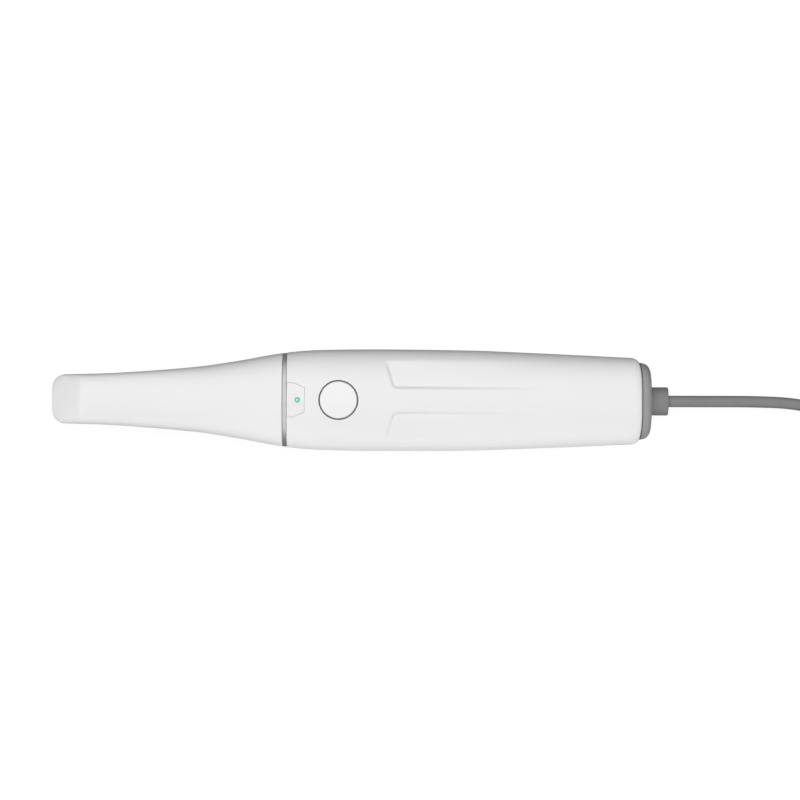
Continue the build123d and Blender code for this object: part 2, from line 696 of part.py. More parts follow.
# ---- Everything ---------------------------------------------------------------------
def save_tip():
    save("tip_shell", tip_shell())
    save("tip_window", tip_window())
    save("tip_mirror", tip_mirror())
    save("mirror_frame", mirror_frame())


def save_nose():
    save("nose_barrel", nose_barrel())
    save("nose_window", nose_window())
    save("tip_seal", tip_seal())
    save("tip_collar", tip_collar())


def save_shells():
    outside = handle_outside()
    hollow = handle_core(HANDLE_WALL)
    inner_skin = handle_core(HANDLE_WALL / 2, COLLAR_X[1], SHELL_REAR_X - 0.5)
    save("top_shell", top_shell(outside, hollow, inner_skin))
    save("bottom_shell", bottom_shell(outside, hollow, inner_skin))
    save("screw_plugs", screw_plugs(outside))
    save("button_cap", button_cap(outside))
    save("button_gasket", button_gasket(outside))
    save("status_window", status_window(outside))
    save("light_pipe", light_pipe(outside))


def save_button_electronics():
    save("switch_plunger", switch_plunger())
    save("tact_switch", tact_switch())
    save("button_board", button_board())
    save("button_board_screws", button_board_screws())
    save("status_led", status_led())
    save("shell_screws", shell_screws())


def save_optics():
    save("optical_bench", optical_bench())
    save("camera_tube", optic_tube(1))
    save("camera_front_lens", lens(1, -21.8, 2.6, 0.6))
    save("camera_rear_lens", lens(1, -8.0, 2.0, 0.4))
    save("camera_board", optic_board(1))
    save("image_sensor", optic_chip(1, 3.2, (-2.8, -1.8)))
    save("projector_tube", optic_tube(-1))
    save("projector_lens", lens(-1, -21.8, 2.6, 0.6))
    save("projector_board", optic_board(-1))
    save("projector_led", optic_chip(-1, 1.8, (-2.8, -1.8)))


def save_electronics():
    save("main_board", main_board())
    save("board_chips", board_chips())
    save("board_screws", board_screws())
    save("thermal_pad", thermal_pad())
    save("heat_spreader", heat_spreader())
    save("ribbon_cable", ribbon_cable())
    save("ribbon_socket", ribbon_socket())


def save_rear():
    save("rear_cap", rear_cap())
    save("strain_relief", strain_relief())
    save("lead_tail", lead_tail())
    save("lead_wires", lead_wires())
    save("lead_header", lead_header())
    save("lead_clamp", lead_clamp())
    save("clamp_screws", clamp_screws())


def save_lead():
    save("lead", lead_tube(LEAD_ROUTE))
    save("lead_hank", lead_hank())
    save("lead_strap", lead_strap())
    save("lead_end", lead_tube(END_ROUTE))
    save("plug_body", plug_body())
    save("plug_shell", plug_shell())
    save("plug_tongue", plug_tongue())


def main():
    os.makedirs("parts", exist_ok=True)
    save_tip()
    save_nose()
    save_shells()
    save_button_electronics()
    save_optics()
    save_electronics()
    save_rear()
    save_lead()


main()
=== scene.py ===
"""Looks of an intraoral camera: white wand, satin collar, button, grey cap and grey lead.

The wand lies along X with its tip towards -X and +Z up. Shapes are worked out in
millimetres and written into Blender in metres.
"""
import functools
import json
import math

import bpy
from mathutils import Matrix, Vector


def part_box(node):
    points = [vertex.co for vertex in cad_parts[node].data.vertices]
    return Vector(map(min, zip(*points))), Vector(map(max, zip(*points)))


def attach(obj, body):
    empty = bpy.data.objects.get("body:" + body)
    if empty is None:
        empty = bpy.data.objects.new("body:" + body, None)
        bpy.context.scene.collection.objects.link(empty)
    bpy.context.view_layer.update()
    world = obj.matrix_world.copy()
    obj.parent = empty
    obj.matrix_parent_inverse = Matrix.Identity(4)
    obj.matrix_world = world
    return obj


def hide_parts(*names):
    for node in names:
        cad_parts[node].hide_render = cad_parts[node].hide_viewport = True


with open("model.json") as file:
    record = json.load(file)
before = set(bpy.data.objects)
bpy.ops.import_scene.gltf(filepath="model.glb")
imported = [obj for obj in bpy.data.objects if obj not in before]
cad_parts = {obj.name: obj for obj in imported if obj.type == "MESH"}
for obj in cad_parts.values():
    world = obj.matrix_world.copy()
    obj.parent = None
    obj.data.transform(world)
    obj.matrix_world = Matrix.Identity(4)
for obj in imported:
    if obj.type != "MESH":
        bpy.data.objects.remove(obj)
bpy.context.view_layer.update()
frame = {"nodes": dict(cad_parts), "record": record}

MM = 0.001
TAU = 2 * math.pi


def box_mm(node):
    """Lowest and highest corner of a CAD node, in millimetres."""
    low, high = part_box(node)
    return [c / MM for c in low], [c / MM for c in high]


# ---- Places read from the CAD parts ----
TIP_END_X = box_mm("tip_shell")[0][0]
TIP_REAR_X = box_mm("tip_shell")[1][0]
COLLAR_X = (box_mm("tip_collar")[0][0], box_mm("tip_collar")[1][0])
SHELL_REAR_X = box_mm("top_shell")[1][0]
CAP_REAR_X = box_mm("rear_cap")[1][0]
RELIEF_END_X = box_mm("strain_relief")[1][0]
SEAM_Z = box_mm("top_shell")[0][2]
GASKET_LOW, GASKET_HIGH = box_mm("button_gasket")
BUTTON_X = (GASKET_LOW[0] + GASKET_HIGH[0]) / 2
LED_LOW, LED_HIGH = box_mm("light_pipe")
LED_X = (LED_LOW[0] + LED_HIGH[0]) / 2
TAIL_LOW, TAIL_HIGH = box_mm("lead_tail")
LEAD_Z = (TAIL_LOW[2] + TAIL_HIGH[2]) / 2
LEAD_RADIUS = (TAIL_HIGH[2] - TAIL_LOW[2]) / 2

# ---- Outline of the wand, the same curves as the CAD model ----
HALF_WIDTH_KNOTS = (
    (-118.0, 9.85), (-104.0, 10.2), (-84.0, 11.4), (-64.0, 13.2), (-48.0, 15.6),
    (-31.8, 18.5), (-27.0, 19.15), (-16.0, 19.95), (8.0, 20.3), (44.0, 20.0),
    (64.0, 19.3), (108.0, 17.4), (118.0, 17.0),
)
TOP_KNOTS = (
    (-108.0, 25.2), (-92.0, 25.6), (-70.0, 28.0), (-48.0, 32.2), (-30.0, 35.9),
    (-10.0, 37.6), (15.0, 38.0), (45.0, 37.6), (80.0, 35.8), (118.0, 32.8),
)
BOTTOM_KNOTS = (
    (-118.0, 8.8), (-95.0, 8.9), (-75.0, 7.4), (-55.0, 4.5), (-30.0, 1.1),
    (-10.0, -0.6), (15.0, -0.9), (80.0, -0.6), (100.0, 0.7), (118.0, 2.6),
)
SQUARENESS_KNOTS = ((-110.0, 3.2), (-60.0, 2.6), (0.0, 2.5))
HEAD_BEND_X = -111.2
HEAD_BEND_Z = 25.2
HEAD_BEND_SOFTNESS = 0.7
HEAD_CORNER_RADIUS = 5.5
HEAD_BELLY_RADIUS = 1.8
REAR_ROUND = (2.9, 1.8)
REAR_BOW = 0.8
REAR_BOW_START = 100.0
REAR_HALF_WIDTH = 15.4
REAR_BOW_LIMIT = 1.1
HANDLE_WALL = 2.0
TIP_WALL = 1.6
BARREL_INSET = 1.95


def knot_slopes(knots):
    """Slope of the smooth curve at each knot, flat where the knots turn back."""
    steps = [(b[1] - a[1]) / (b[0] - a[0]) for a, b in zip(knots, knots[1:])]
    inner = [2 * a * b / (a + b) if a * b > 0 else 0.0 for a, b in zip(steps, steps[1:])]
    return [steps[0]] + inner + [steps[-1]]


KNOT_LISTS = (HALF_WIDTH_KNOTS, TOP_KNOTS, BOTTOM_KNOTS, SQUARENESS_KNOTS)
SLOPES = {knots: knot_slopes(knots) for knots in KNOT_LISTS}


def smooth_curve(knots, x):
    """Height of the smooth monotone curve through the knots at x."""
    x = min(max(x, knots[0][0]), knots[-1][0])
    slopes = SLOPES[knots]
    index = max(i for i in range(len(knots) - 1) if knots[i][0] <= x)
    (x0, y0), (x1, y1) = knots[index], knots[index + 1]
    span = x1 - x0
    t = (x - x0) / span
    start = y0 * (1 + 2 * t) * (1 - t) ** 2 + slopes[index] * span * t * (1 - t) ** 2
    return start + y1 * t * t * (3 - 2 * t) + slopes[index + 1] * span * t * t * (t - 1)


def smooth_step(low, high, value):
    t = min(max((value - low) / (high - low), 0.0), 1.0)
    return t * t * (3 - 2 * t)


def round_off(distance, length, depth=None):
    """How far an elliptical corner lies inside its flat side, at a distance into it."""
    share = min(max(distance / length, 0.0), 1.0)
    return (depth or length) * (1 - math.sqrt(1 - share * share))


def half_width(x):
    corner = round_off(TIP_END_X + HEAD_CORNER_RADIUS - x, HEAD_CORNER_RADIUS)
    return smooth_curve(HALF_WIDTH_KNOTS, x) - corner


def bottom_z(x):
    corner = round_off(TIP_END_X + HEAD_BELLY_RADIUS - x, HEAD_BELLY_RADIUS)
    return smooth_curve(BOTTOM_KNOTS, x) + corner


def top_z(x, wall=0.0):
    back = smooth_curve(TOP_KNOTS, x) - wall
    slope = HEAD_BEND_Z + (x - HEAD_BEND_X) - wall * math.sqrt(2)
    return (back + slope - math.sqrt((back - slope) ** 2 + HEAD_BEND_SOFTNESS ** 2)) / 2


@functools.lru_cache(maxsize=None)
def outline(x, inset=0.0):
    """Half width, middle height, half height and squareness of the section at x."""
    top = top_z(x, inset)
    bottom = bottom_z(x) + inset
    power = smooth_curve(SQUARENESS_KNOTS, x)
    return half_width(x) - inset, (top + bottom) / 2, (top - bottom) / 2, power


def at_angle(x, angle, inset=0.0):
    """Point of the section at x, at an angle from +Y towards +Z."""
    wide, middle, tall, power = outline(x, inset)
    across = abs(math.cos(angle) / wide) ** power
    up = abs(math.sin(angle) / tall) ** power
    reach = (across + up) ** (-1 / power)
    return x, reach * math.cos(angle), middle + reach * math.sin(angle)


def height(x, y, side=1, inset=0.0):
    """Height of the back (side 1) or the belly (side -1) over a point in plan."""
    wide, middle, tall, power = outline(x, inset)
    share = min(abs(y) / wide, 1.0)
    return middle + side * tall * (1 - share ** power) ** (1 / power)


def side_angle(x, y, z, inset=0.0):
    middle = outline(x, inset)[1]
    return math.atan2(z - middle, y)


def side_reach(x, z, inset=0.0):
    """Half width of the section at x at a given height."""
    wide, middle, tall, power = outline(x, inset)
    share = min(abs(z - middle) / tall, 1.0)
    return wide * (1 - share ** power) ** (1 / power)


def rear_inset(x):
    """How far the shell's rounded rear corner lies inside the outline."""
    return round_off(x - (SHELL_REAR_X - REAR_ROUND[0]), *REAR_ROUND)


def bowed(point):
    """The rear end bows: its sides lie a little further forward than its middle."""
    x, y, z = point
    ramp = smooth_step(REAR_BOW_START, SHELL_REAR_X, x)
    return x - REAR_BOW * ramp * min(abs(y) / REAR_HALF_WIDTH, REAR_BOW_LIMIT) ** 4, y, z


def spans(*parts):
    """Stations along a line: each part is (start, end, steps), each starting at the last end."""
    stations = [start + (end - start) * k / steps for start, end, steps in parts for k in range(steps)]
    return stations + [parts[-1][1]]


def quarter_turn(steps, first=0):
    """Angles up to a right angle in equal steps, from step number first on."""
    return [math.pi / 2 * k / steps for k in range(first, steps + 1)]


# ---- Mesh helpers ----
def add_object(name, data):
    shown = bpy.data.objects.new(name, data)
    bpy.context.collection.objects.link(shown)
    return shown


def add_piece(name, points, faces, material, body):
    """A smooth-shaded mesh from points in millimetres, riding on a CAD body.

    Its material has the name of the record's slot that it takes its finish from.
    """
    mesh = bpy.data.meshes.new(name)
    mesh.from_pydata([[c * MM for c in p] for p in points], [], faces)
    mesh.validate()
    mesh.polygons.foreach_set("use_smooth", [True] * len(mesh.polygons))
    mesh.materials.append(MATERIALS[material])
    piece = add_object(name, mesh)
    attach(piece, body)
    return piece


def thicken(piece, wall, rounding, segments=3, share_at=None):
    """Give a skin its wall, inwards, thinner where share_at says, and round every rim."""
    solidify = piece.modifiers.new("wall", "SOLIDIFY")
    if share_at:
        group = piece.vertex_groups.new(name="wall")
        for vertex in piece.data.vertices:
            group.add([vertex.index], share_at(vertex.co.x / MM), "REPLACE")
        solidify.vertex_group = group.name
    solidify.thickness = wall * MM
    solidify.offset = -1
    solidify.use_even_offset = False
    round_edges(piece, rounding, segments)


def round_edges(piece, rounding, segments):
    bevel = piece.modifiers.new("rims", "BEVEL")
    bevel.width = rounding * MM
    bevel.segments = segments
    bevel.limit_method = "ANGLE"
    bevel.angle_limit = math.radians(50)
    bevel.harden_normals = False
    normals = piece.modifiers.new("shading", "WEIGHTED_NORMAL")
    normals.keep_sharp = False
    normals.weight = 60


def grid_faces(rows, wrap, squares):
    """Quads between rows of equal length, without those in the squares (i0, i1, j0, j1)."""
    width = len(rows[0])
    faces = []
    for i in range(len(rows) - 1):
        for j in range(width if wrap else width - 1):
            if any(i0 <= i < i1 and j0 <= j < j1 for i0, i1, j0, j1 in squares):
                continue
            k = (j + 1) % width
            faces.append((i * width + j, i * width + k, (i + 1) * width + k, (i + 1) * width + j))
    return faces


def loop_round(width, i0, i1, j0, j1):
    """Vertex numbers round a rectangle of a grid, each once."""
    loop = [(i, j0) for i in range(i0, i1)] + [(i1, j) for j in range(j0, j1)]
    loop += [(i, j1) for i in range(i1, i0, -1)] + [(i0, j) for j in range(j1, j0, -1)]
    return [i * width + j for i, j in loop]


def hole_patch(points, faces, loop, rim_at, lift, rings):
    """Fill a rectangular gap of a grid with rings that close in on a hole's rim."""
    previous = loop
    for ring in range(1, rings + 1):
        share = ring / rings
        current = []
        for number in loop:
            x, y = points[number][:2]
            rim_x, rim_y = rim_at(x, y)
            px = x + (rim_x - x) * share
            py = y + (rim_y - y) * share
            points.append((px, py, lift(px, py)))
            current.append(len(points) - 1)
        for n in range(len(loop)):
            m = (n + 1) % len(loop)
            faces.append((previous[n], current[n], current[m], previous[m]))
        previous = current


def used_only(points, faces):
    """The points that the faces use, and the faces with those points' new numbers."""
    used = sorted({number for face in faces for number in face})
    place = {number: k for k, number in enumerate(used)}
    return [points[number] for number in used], [tuple(place[n] for n in face) for face in faces]


def circle_rim(x, y, middle_x, middle_y, radius):
    """Nearest point of a circle."""
    away = math.hypot(x - middle_x, y - middle_y)
    return middle_x + (x - middle_x) * radius / away, middle_y + (y - middle_y) * radius / away


def rounded_rim(x, y, middle_x, half_x, half_y, corner):
    """Nearest point of a rounded rectangle about (middle_x, 0)."""
    core_x = min(max(x - middle_x, corner - half_x), half_x - corner)
    core_y = min(max(y, corner - half_y), half_y - corner)
    away = math.hypot(x - middle_x - core_x, y - core_y)
    grow = corner / away
    return middle_x + core_x + (x - middle_x - core_x) * grow, core_y + (y - core_y) * grow


def outwards(piece, middle):
    """Turn a skin's faces so that they look away from a point, in millimetres."""
    mesh = piece.data
    centre = Vector(middle) * MM
    total = sum((p.center - centre).dot(p.normal) * p.area for p in mesh.polygons)
    if total < 0:
        mesh.flip_normals()


def ring_solid(rings, wrap):
    """Closed solid through rings of points: a hoop if wrap, else capped at both ends."""
    width = len(rings[0])
    points = [p for ring in rings for p in ring]
    rows = rings + [rings[0]] if wrap else rings
    faces = []
    for i in range(len(rows) - 1):
        a = i * width
        b = ((i + 1) % len(rings)) * width
        for j in range(width):
            k = (j + 1) % width
            faces.append((a + j, a + k, b + k, b + j))
    if not wrap:
        for start, flip in ((0, True), (len(points) - width, False)):
            middle = [sum(p[axis] for p in points[start:start + width]) / width for axis in range(3)]
            points.append(tuple(middle))
            hub = len(points) - 1
            for j in range(width):
                k = (j + 1) % width
                pair = (start + k, start + j) if flip else (start + j, start + k)
                faces.append((*pair, hub))
    return points, faces


def add_ring_piece(name, rings, wrap, material, body="handle"):
    points, faces = ring_solid(rings, wrap)
    piece = add_piece(name, points, faces, material, body)
    if signed_volume(piece.data) < 0:
        piece.data.flip_normals()
    return piece


def signed_volume(mesh):
    """Six times the volume, below zero where the faces look inwards."""
    mesh.calc_loop_triangles()
    spots = [v.co for v in mesh.vertices]
    corners = [triangle.vertices for triangle in mesh.loop_triangles]
    return sum(spots[a].dot(spots[b].cross(spots[c])) for a, b, c in corners)


# ---- Materials ----
EVEN = (1, 1, 1)
CLOUD_DETAIL = 3.0
ROUGHNESS_SPREAD = 0.05
SMEAR_MM = 6.0
GLOW_RADII = (0.25, 0.95)


def node_material(name):
    material = bpy.data.materials.new(name)
    material.use_nodes = True
    tree = material.node_tree
    return material, tree, tree.nodes["Principled BSDF"]


def object_noise(tree, grain_mm, detail=2.0, stretch=EVEN):
    """Noise in the object's own space, with blobs of about grain_mm."""
    coords = tree.nodes.new("ShaderNodeTexCoord").outputs["Object"]
    mapping = tree.nodes.new("ShaderNodeMapping")
    mapping.inputs["Scale"].default_value = [s / (grain_mm * MM) for s in stretch]
    tree.links.new(coords, mapping.inputs["Vector"])
    noise = tree.nodes.new("ShaderNodeTexNoise")
    noise.inputs["Scale"].default_value = 1.0
    noise.inputs["Detail"].default_value = detail
    tree.links.new(mapping.outputs["Vector"], noise.inputs["Vector"])
    return noise.outputs["Fac"]


def ramp_between(tree, factor, low, high, start=0.3, end=0.7):
    ramp = tree.nodes.new("ShaderNodeValToRGB")
    ramp.color_ramp.elements[0].position = start
    ramp.color_ramp.elements[0].color = (*low, 1)
    ramp.color_ramp.elements[1].position = end
    ramp.color_ramp.elements[1].color = (*high, 1)
    tree.links.new(factor, ramp.inputs["Fac"])
    return ramp.outputs["Color"]


def add_bump(tree, shader, factor, depth_mm):
    bump = tree.nodes.new("ShaderNodeBump")
    bump.inputs["Distance"].default_value = depth_mm * MM
    tree.links.new(factor, bump.inputs["Height"])
    tree.links.new(bump.outputs["Normal"], shader.inputs["Normal"])


def map_range(tree, value, span, results=(0.0, 1.0)):
    """Turn a span of values into a span of results."""
    mapping = tree.nodes.new("ShaderNodeMapRange")
    for socket, number in zip(("From Min", "From Max", "To Min", "To Max"), (*span, *results)):
        mapping.inputs[socket].default_value = number
    tree.links.new(value, mapping.inputs["Value"])
    return mapping.outputs["Result"]


def vary_roughness(tree, shader, factor, low, high):
    spread = map_range(tree, factor, (0.0, 1.0), (low, high))
    tree.links.new(spread, shader.inputs["Roughness"])


def shade(color, factor):
    return tuple(min(c * factor, 1.0) for c in color)


def surface(name, color, roughness, grain_mm, depth_mm, mottle, cloud_mm,
            metallic=0.0, stretch=EVEN, specular=0.5):
    """A material with a fine surface texture and a faint cloudy change of tone."""
    material, tree, shader = node_material(name)
    shader.inputs["Metallic"].default_value = metallic
    shader.inputs["Specular IOR Level"].default_value = specular
    cloud = object_noise(tree, cloud_mm, CLOUD_DETAIL)
    tone = ramp_between(tree, cloud, shade(color, 1 - mottle), shade(color, 1 + mottle))
    tree.links.new(tone, shader.inputs["Base Color"])
    grain = object_noise(tree, grain_mm, stretch=stretch)
    vary_roughness(tree, shader, grain, roughness - ROUGHNESS_SPREAD, roughness + ROUGHNESS_SPREAD)
    add_bump(tree, shader, grain, depth_mm)
    return material


def clear_material(name, color, roughness):
    """Glass or clear plastic with faint smears."""
    material, tree, shader = node_material(name)
    smear = object_noise(tree, SMEAR_MM, CLOUD_DETAIL)
    tone = ramp_between(tree, smear, shade(color, 0.97), color)
    tree.links.new(tone, shader.inputs["Base Color"])
    vary_roughness(tree, shader, smear, roughness, roughness + 0.04)
    shader.inputs["Transmission Weight"].default_value = 0.9
    return material


def glow_material(name, rim, core, strength):
    """Lit green plastic, brighter in its middle."""
    material, tree, shader = node_material(name)
    coords = tree.nodes.new("ShaderNodeTexCoord").outputs["Object"]
    away = tree.nodes.new("ShaderNodeVectorMath")
    away.operation = "DISTANCE"
    away.inputs[1].default_value = (LED_X * MM, 0.0, LED_HIGH[2] * MM)
    tree.links.new(coords, away.inputs[0])
    spread = map_range(tree, away.outputs["Value"], [radius * MM for radius in GLOW_RADII])
    tone = ramp_between(tree, spread, core, rim, 0.0, 1.0)
    tree.links.new(tone, shader.inputs["Base Color"])
    tree.links.new(tone, shader.inputs["Emission Color"])
    shader.inputs["Emission Strength"].default_value = strength
    shader.inputs["Roughness"].default_value = 0.25
    return material


WHITE = (0.8, 0.8, 0.8)
# Colour, roughness, size and depth of the grain in mm, strength and size in mm of the cloudy
# change of tone, and where they aren't plain: metallic, stretch of the grain, specular level.
SURFACES = {
    "tip_white": (WHITE, 0.42, 0.25, 0.003, 0.006, 20.0, 0.0, EVEN, 0.3),
    "shell_white": (WHITE, 0.5, 0.3, 0.005, 0.006, 24.0, 0.0, EVEN, 0.3),
    "button_white": ((0.83, 0.83, 0.83), 0.4, 0.25, 0.003, 0.006, 8.0, 0.0, EVEN, 0.3),
    "front_mirror": ((0.9, 0.9, 0.92), 0.06, 3.0, 0.0002, 0.01, 8.0, 1.0),
    "black_plastic": ((0.02, 0.02, 0.02), 0.5, 0.3, 0.01, 0.1, 6.0),
    "nose_metal": ((0.5, 0.51, 0.53), 0.38, 0.15, 0.006, 0.04, 10.0, 0.9),
    "black_rubber": ((0.025, 0.025, 0.025), 0.62, 0.2, 0.01, 0.12, 4.0),
    "satin_ring": ((0.64, 0.64, 0.645), 0.46, 0.12, 0.004, 0.05, 3.0, 0.88, (6.0, 0.15, 0.15)),
    "screw_steel": ((0.5, 0.5, 0.52), 0.32, 0.2, 0.004, 0.06, 2.0, 1.0),
    "grey_rubber": ((0.085, 0.085, 0.09), 0.6, 0.2, 0.008, 0.08, 3.0),
    "switch_metal": ((0.6, 0.6, 0.6), 0.3, 0.2, 0.004, 0.05, 2.0, 1.0),
    "board_green": ((0.01, 0.14, 0.05), 0.35, 0.5, 0.008, 0.25, 1.2),
    "status_pane": ((0.79, 0.775, 0.78), 0.3, 0.6, 0.0005, 0.02, 3.0, 0.0, EVEN, 0.4),
    "bench_metal": ((0.55, 0.56, 0.57), 0.3, 0.15, 0.006, 0.06, 8.0, 1.0, (0.3, 3.0, 1.0)),
    "black_metal": ((0.03, 0.03, 0.032), 0.4, 0.15, 0.005, 0.1, 4.0, 0.6),
    "sensor_glass": ((0.03, 0.04, 0.09), 0.12, 0.3, 0.0005, 0.3, 0.8),
    "led_yellow": ((0.75, 0.62, 0.12), 0.4, 0.2, 0.004, 0.08, 0.8),
    "chip_black": ((0.03, 0.03, 0.033), 0.55, 0.12, 0.008, 0.12, 2.0),
    "pad_grey": ((0.35, 0.37, 0.4), 0.8, 0.4, 0.02, 0.06, 3.0),
    "flex_amber": ((0.42, 0.2, 0.03), 0.28, 0.4, 0.003, 0.12, 2.0),
    "cap_grey": ((0.29, 0.29, 0.29), 0.48, 0.3, 0.006, 0.02, 8.0),
    "relief_grey": ((0.2, 0.2, 0.2), 0.5, 0.25, 0.008, 0.03, 5.0),
    "lead_grey": ((0.21, 0.21, 0.21), 0.5, 0.35, 0.008, 0.03, 14.0),
    "wire_copper": ((0.65, 0.3, 0.15), 0.3, 0.1, 0.01, 0.1, 1.0, 1.0),
    "header_white": ((0.72, 0.7, 0.62), 0.45, 0.2, 0.005, 0.03, 3.0),
    "strap_black": ((0.02, 0.02, 0.022), 0.85, 0.35, 0.12, 0.3, 1.5, 0.0, (1.0, 3.0, 3.0)),
    "plug_grey": ((0.16, 0.16, 0.16), 0.5, 0.3, 0.01, 0.03, 6.0),
    "plug_steel": ((0.62, 0.62, 0.6), 0.24, 0.15, 0.003, 0.04, 5.0, 1.0, (0.3, 3.0, 3.0)),
    "plug_tongue": ((0.02, 0.07, 0.35), 0.45, 0.2, 0.004, 0.05, 2.0),
}
MATERIALS = {name: surface(name, *look) for name, look in SURFACES.items()}
MATERIALS["clear_pane"] = clear_material("clear_pane", (0.93, 0.96, 0.97), 0.02)
MATERIALS["lens_glass"] = clear_material("lens_glass", (0.75, 0.9, 0.97), 0.01)
MATERIALS["status_green"] = glow_material("status_green", (0.02, 0.36, 0.14), (0.2, 0.75, 0.45), 0.35)


def dress_cad_nodes():
    """Give every CAD node that still shows the material of its record slot."""
    slots = {part["node"]: part["material_slot"] for part in frame["record"]["subparts"]}
    for node, shown in frame["nodes"].items():
        for slot in shown.material_slots:
            slot.material = MATERIALS[slots[node]]


# ---- Camera, light and floor ----
VIEW_WIDTH = 0.320
VIEW_MIDDLE = (0.0162, 0.0001, 0.018)
VIEW_ROLL = math.radians(0.25)
LENS = 200.0
SENSOR = 36.0


def add_camera():
    camera = bpy.data.cameras.new("camera")
    camera.lens = LENS
    camera.sensor_width = SENSOR
    camera.clip_end = 50.0
    holder = add_object("camera", camera)
    away = VIEW_WIDTH * LENS / SENSOR
    holder.location = (VIEW_MIDDLE[0], VIEW_MIDDLE[1], VIEW_MIDDLE[2] + away)
    holder.rotation_euler = (0.0, 0.0, VIEW_ROLL)
    bpy.context.scene.camera = holder


# Name, place, aim and size in metres, and power in watts.
LIGHTS = (
    ("top", (0.15, 0.38, 1.95), (0.0, 0.0, 0.0), (2.4, 0.8), 43.0),
    ("side", (0.0, -1.95, 0.5), (0.0, 0.0, 0.0), (2.4, 0.8), 5.0),
    ("tip_end", (-2.0, 0.0, 0.45), (0.0, 0.0, 0.02), (0.8, 1.6), 16.0),
    ("lead_end", (2.0, 0.0, 0.45), (0.0, 0.0, 0.02), (0.8, 1.6), 4.0),
)


def add_area_light(name, place, aim, size, power):
    """A soft light that shiny surfaces don't mirror: they show the sky instead."""
    light = bpy.data.lights.new(name, "AREA")
    light.shape = "RECTANGLE"
    light.size, light.size_y = size
    light.energy = power
    holder = add_object(name, light)
    holder.visible_glossy = False
    holder.location = place
    direction = Vector(aim) - Vector(place)
    holder.rotation_euler = direction.to_track_quat("-Z", "Y").to_euler()


def camera_ray_switch(tree, seen, lit):
    """The camera sees one shader and the light bounces off another."""
    path = tree.nodes.new("ShaderNodeLightPath")
    mix = tree.nodes.new("ShaderNodeMixShader")
    tree.links.new(path.outputs["Is Camera Ray"], mix.inputs["Fac"])
    tree.links.new(lit, mix.inputs[1])
    tree.links.new(seen, mix.inputs[2])
    return mix.outputs["Shader"]


FLOOR_REACH = 20.0
FLOOR_Z = -0.0001
FLOOR_GLOW = 0.95
FLOOR_SEEN = 0.08
FLOOR_BOUNCE = 0.12
FRONT_BOUNCE = 2.8
FRONT_BOUNCE_REACH = 0.12
WORLD_LIGHT = 0.07
SKY_SPAN = (-0.1, 0.55)
SKY_TONES = (0.3, 1.25)


def axis_of(tree, vector, axis):
    split = tree.nodes.new("ShaderNodeSeparateXYZ")
    tree.links.new(vector, split.inputs["Vector"])
    return split.outputs[axis]


def front_bounce(tree):
    """Light off the floor in front of the wand, stronger further out, for matt surfaces alone."""
    place = tree.nodes.new("ShaderNodeTexCoord").outputs["Object"]
    fade = map_range(tree, axis_of(tree, place, "Y"), (-FRONT_BOUNCE_REACH, 0.0), (FRONT_BOUNCE, 0.0))
    matt = tree.nodes.new("ShaderNodeMath")
    matt.operation = "MULTIPLY"
    tree.links.new(fade, matt.inputs[0])
    path = tree.nodes.new("ShaderNodeLightPath")
    tree.links.new(path.outputs["Is Diffuse Ray"], matt.inputs[1])
    glow = tree.nodes.new("ShaderNodeEmission")
    tree.links.new(matt.outputs["Value"], glow.inputs["Strength"])
    return glow.outputs["Emission"]


def matt_shader(tree, tone):
    shader = tree.nodes.new("ShaderNodeBsdfDiffuse")
    shader.inputs["Color"].default_value = (tone, tone, tone, 1)
    return shader.outputs["BSDF"]


def shader_sum(tree, first, second):
    both = tree.nodes.new("ShaderNodeAddShader")
    tree.links.new(first, both.inputs[0])
    tree.links.new(second, both.inputs[1])
    return both.outputs["Shader"]


def add_floor():
    """White floor: almost shadowless where the camera sees it."""
    signs = ((-1, -1), (1, -1), (1, 1), (-1, 1))
    corners = [(x * FLOOR_REACH, y * FLOOR_REACH, FLOOR_Z) for x, y in signs]
    mesh = bpy.data.meshes.new("floor")
    mesh.from_pydata(corners, [], [(0, 1, 2, 3)])
    material = bpy.data.materials.new("floor")
    material.use_nodes = True
    tree = material.node_tree
    tree.nodes.clear()
    glow = tree.nodes.new("ShaderNodeEmission")
    glow.inputs["Strength"].default_value = FLOOR_GLOW
    seen = shader_sum(tree, matt_shader(tree, FLOOR_SEEN), glow.outputs["Emission"])
    lit = shader_sum(tree, matt_shader(tree, FLOOR_BOUNCE), front_bounce(tree))
    output = tree.nodes.new("ShaderNodeOutputMaterial")
    tree.links.new(camera_ray_switch(tree, seen, lit), output.inputs["Surface"])
    mesh.materials.append(material)
    add_object("floor", mesh)


def sky_strength(tree):
    """Faint light on matt surfaces, and a bright sky for shiny ones that fades at the horizon."""
    direction = tree.nodes.new("ShaderNodeTexCoord").outputs["Generated"]
    sky = map_range(tree, axis_of(tree, direction, "Z"), SKY_SPAN, SKY_TONES)
    path = tree.nodes.new("ShaderNodeLightPath")
    pick = tree.nodes.new("ShaderNodeMix")
    tree.links.new(path.outputs["Is Glossy Ray"], pick.inputs["Factor"])
    pick.inputs["A"].default_value = WORLD_LIGHT
    tree.links.new(sky, pick.inputs["B"])
    return pick.outputs["Result"]


def add_world():
    world = bpy.data.worlds.new("studio")
    world.use_nodes = True
    tree = world.node_tree
    tree.nodes.clear()
    lit = tree.nodes.new("ShaderNodeBackground")
    tree.links.new(sky_strength(tree), lit.inputs["Strength"])
    seen = tree.nodes.new("ShaderNodeBackground")
    seen.inputs["Color"].default_value = (1, 1, 1, 1)
    output = tree.nodes.new("ShaderNodeOutputWorld")
    result = camera_ray_switch(tree, seen.outputs["Background"], lit.outputs["Background"])
    tree.links.new(result, output.inputs["Surface"])
    bpy.context.scene.world = world


def add_studio():
    bpy.context.scene.view_settings.view_transform = "Standard"
    add_camera()
    add_floor()
    add_world()
    for light in LIGHTS:
        add_area_light(*light)


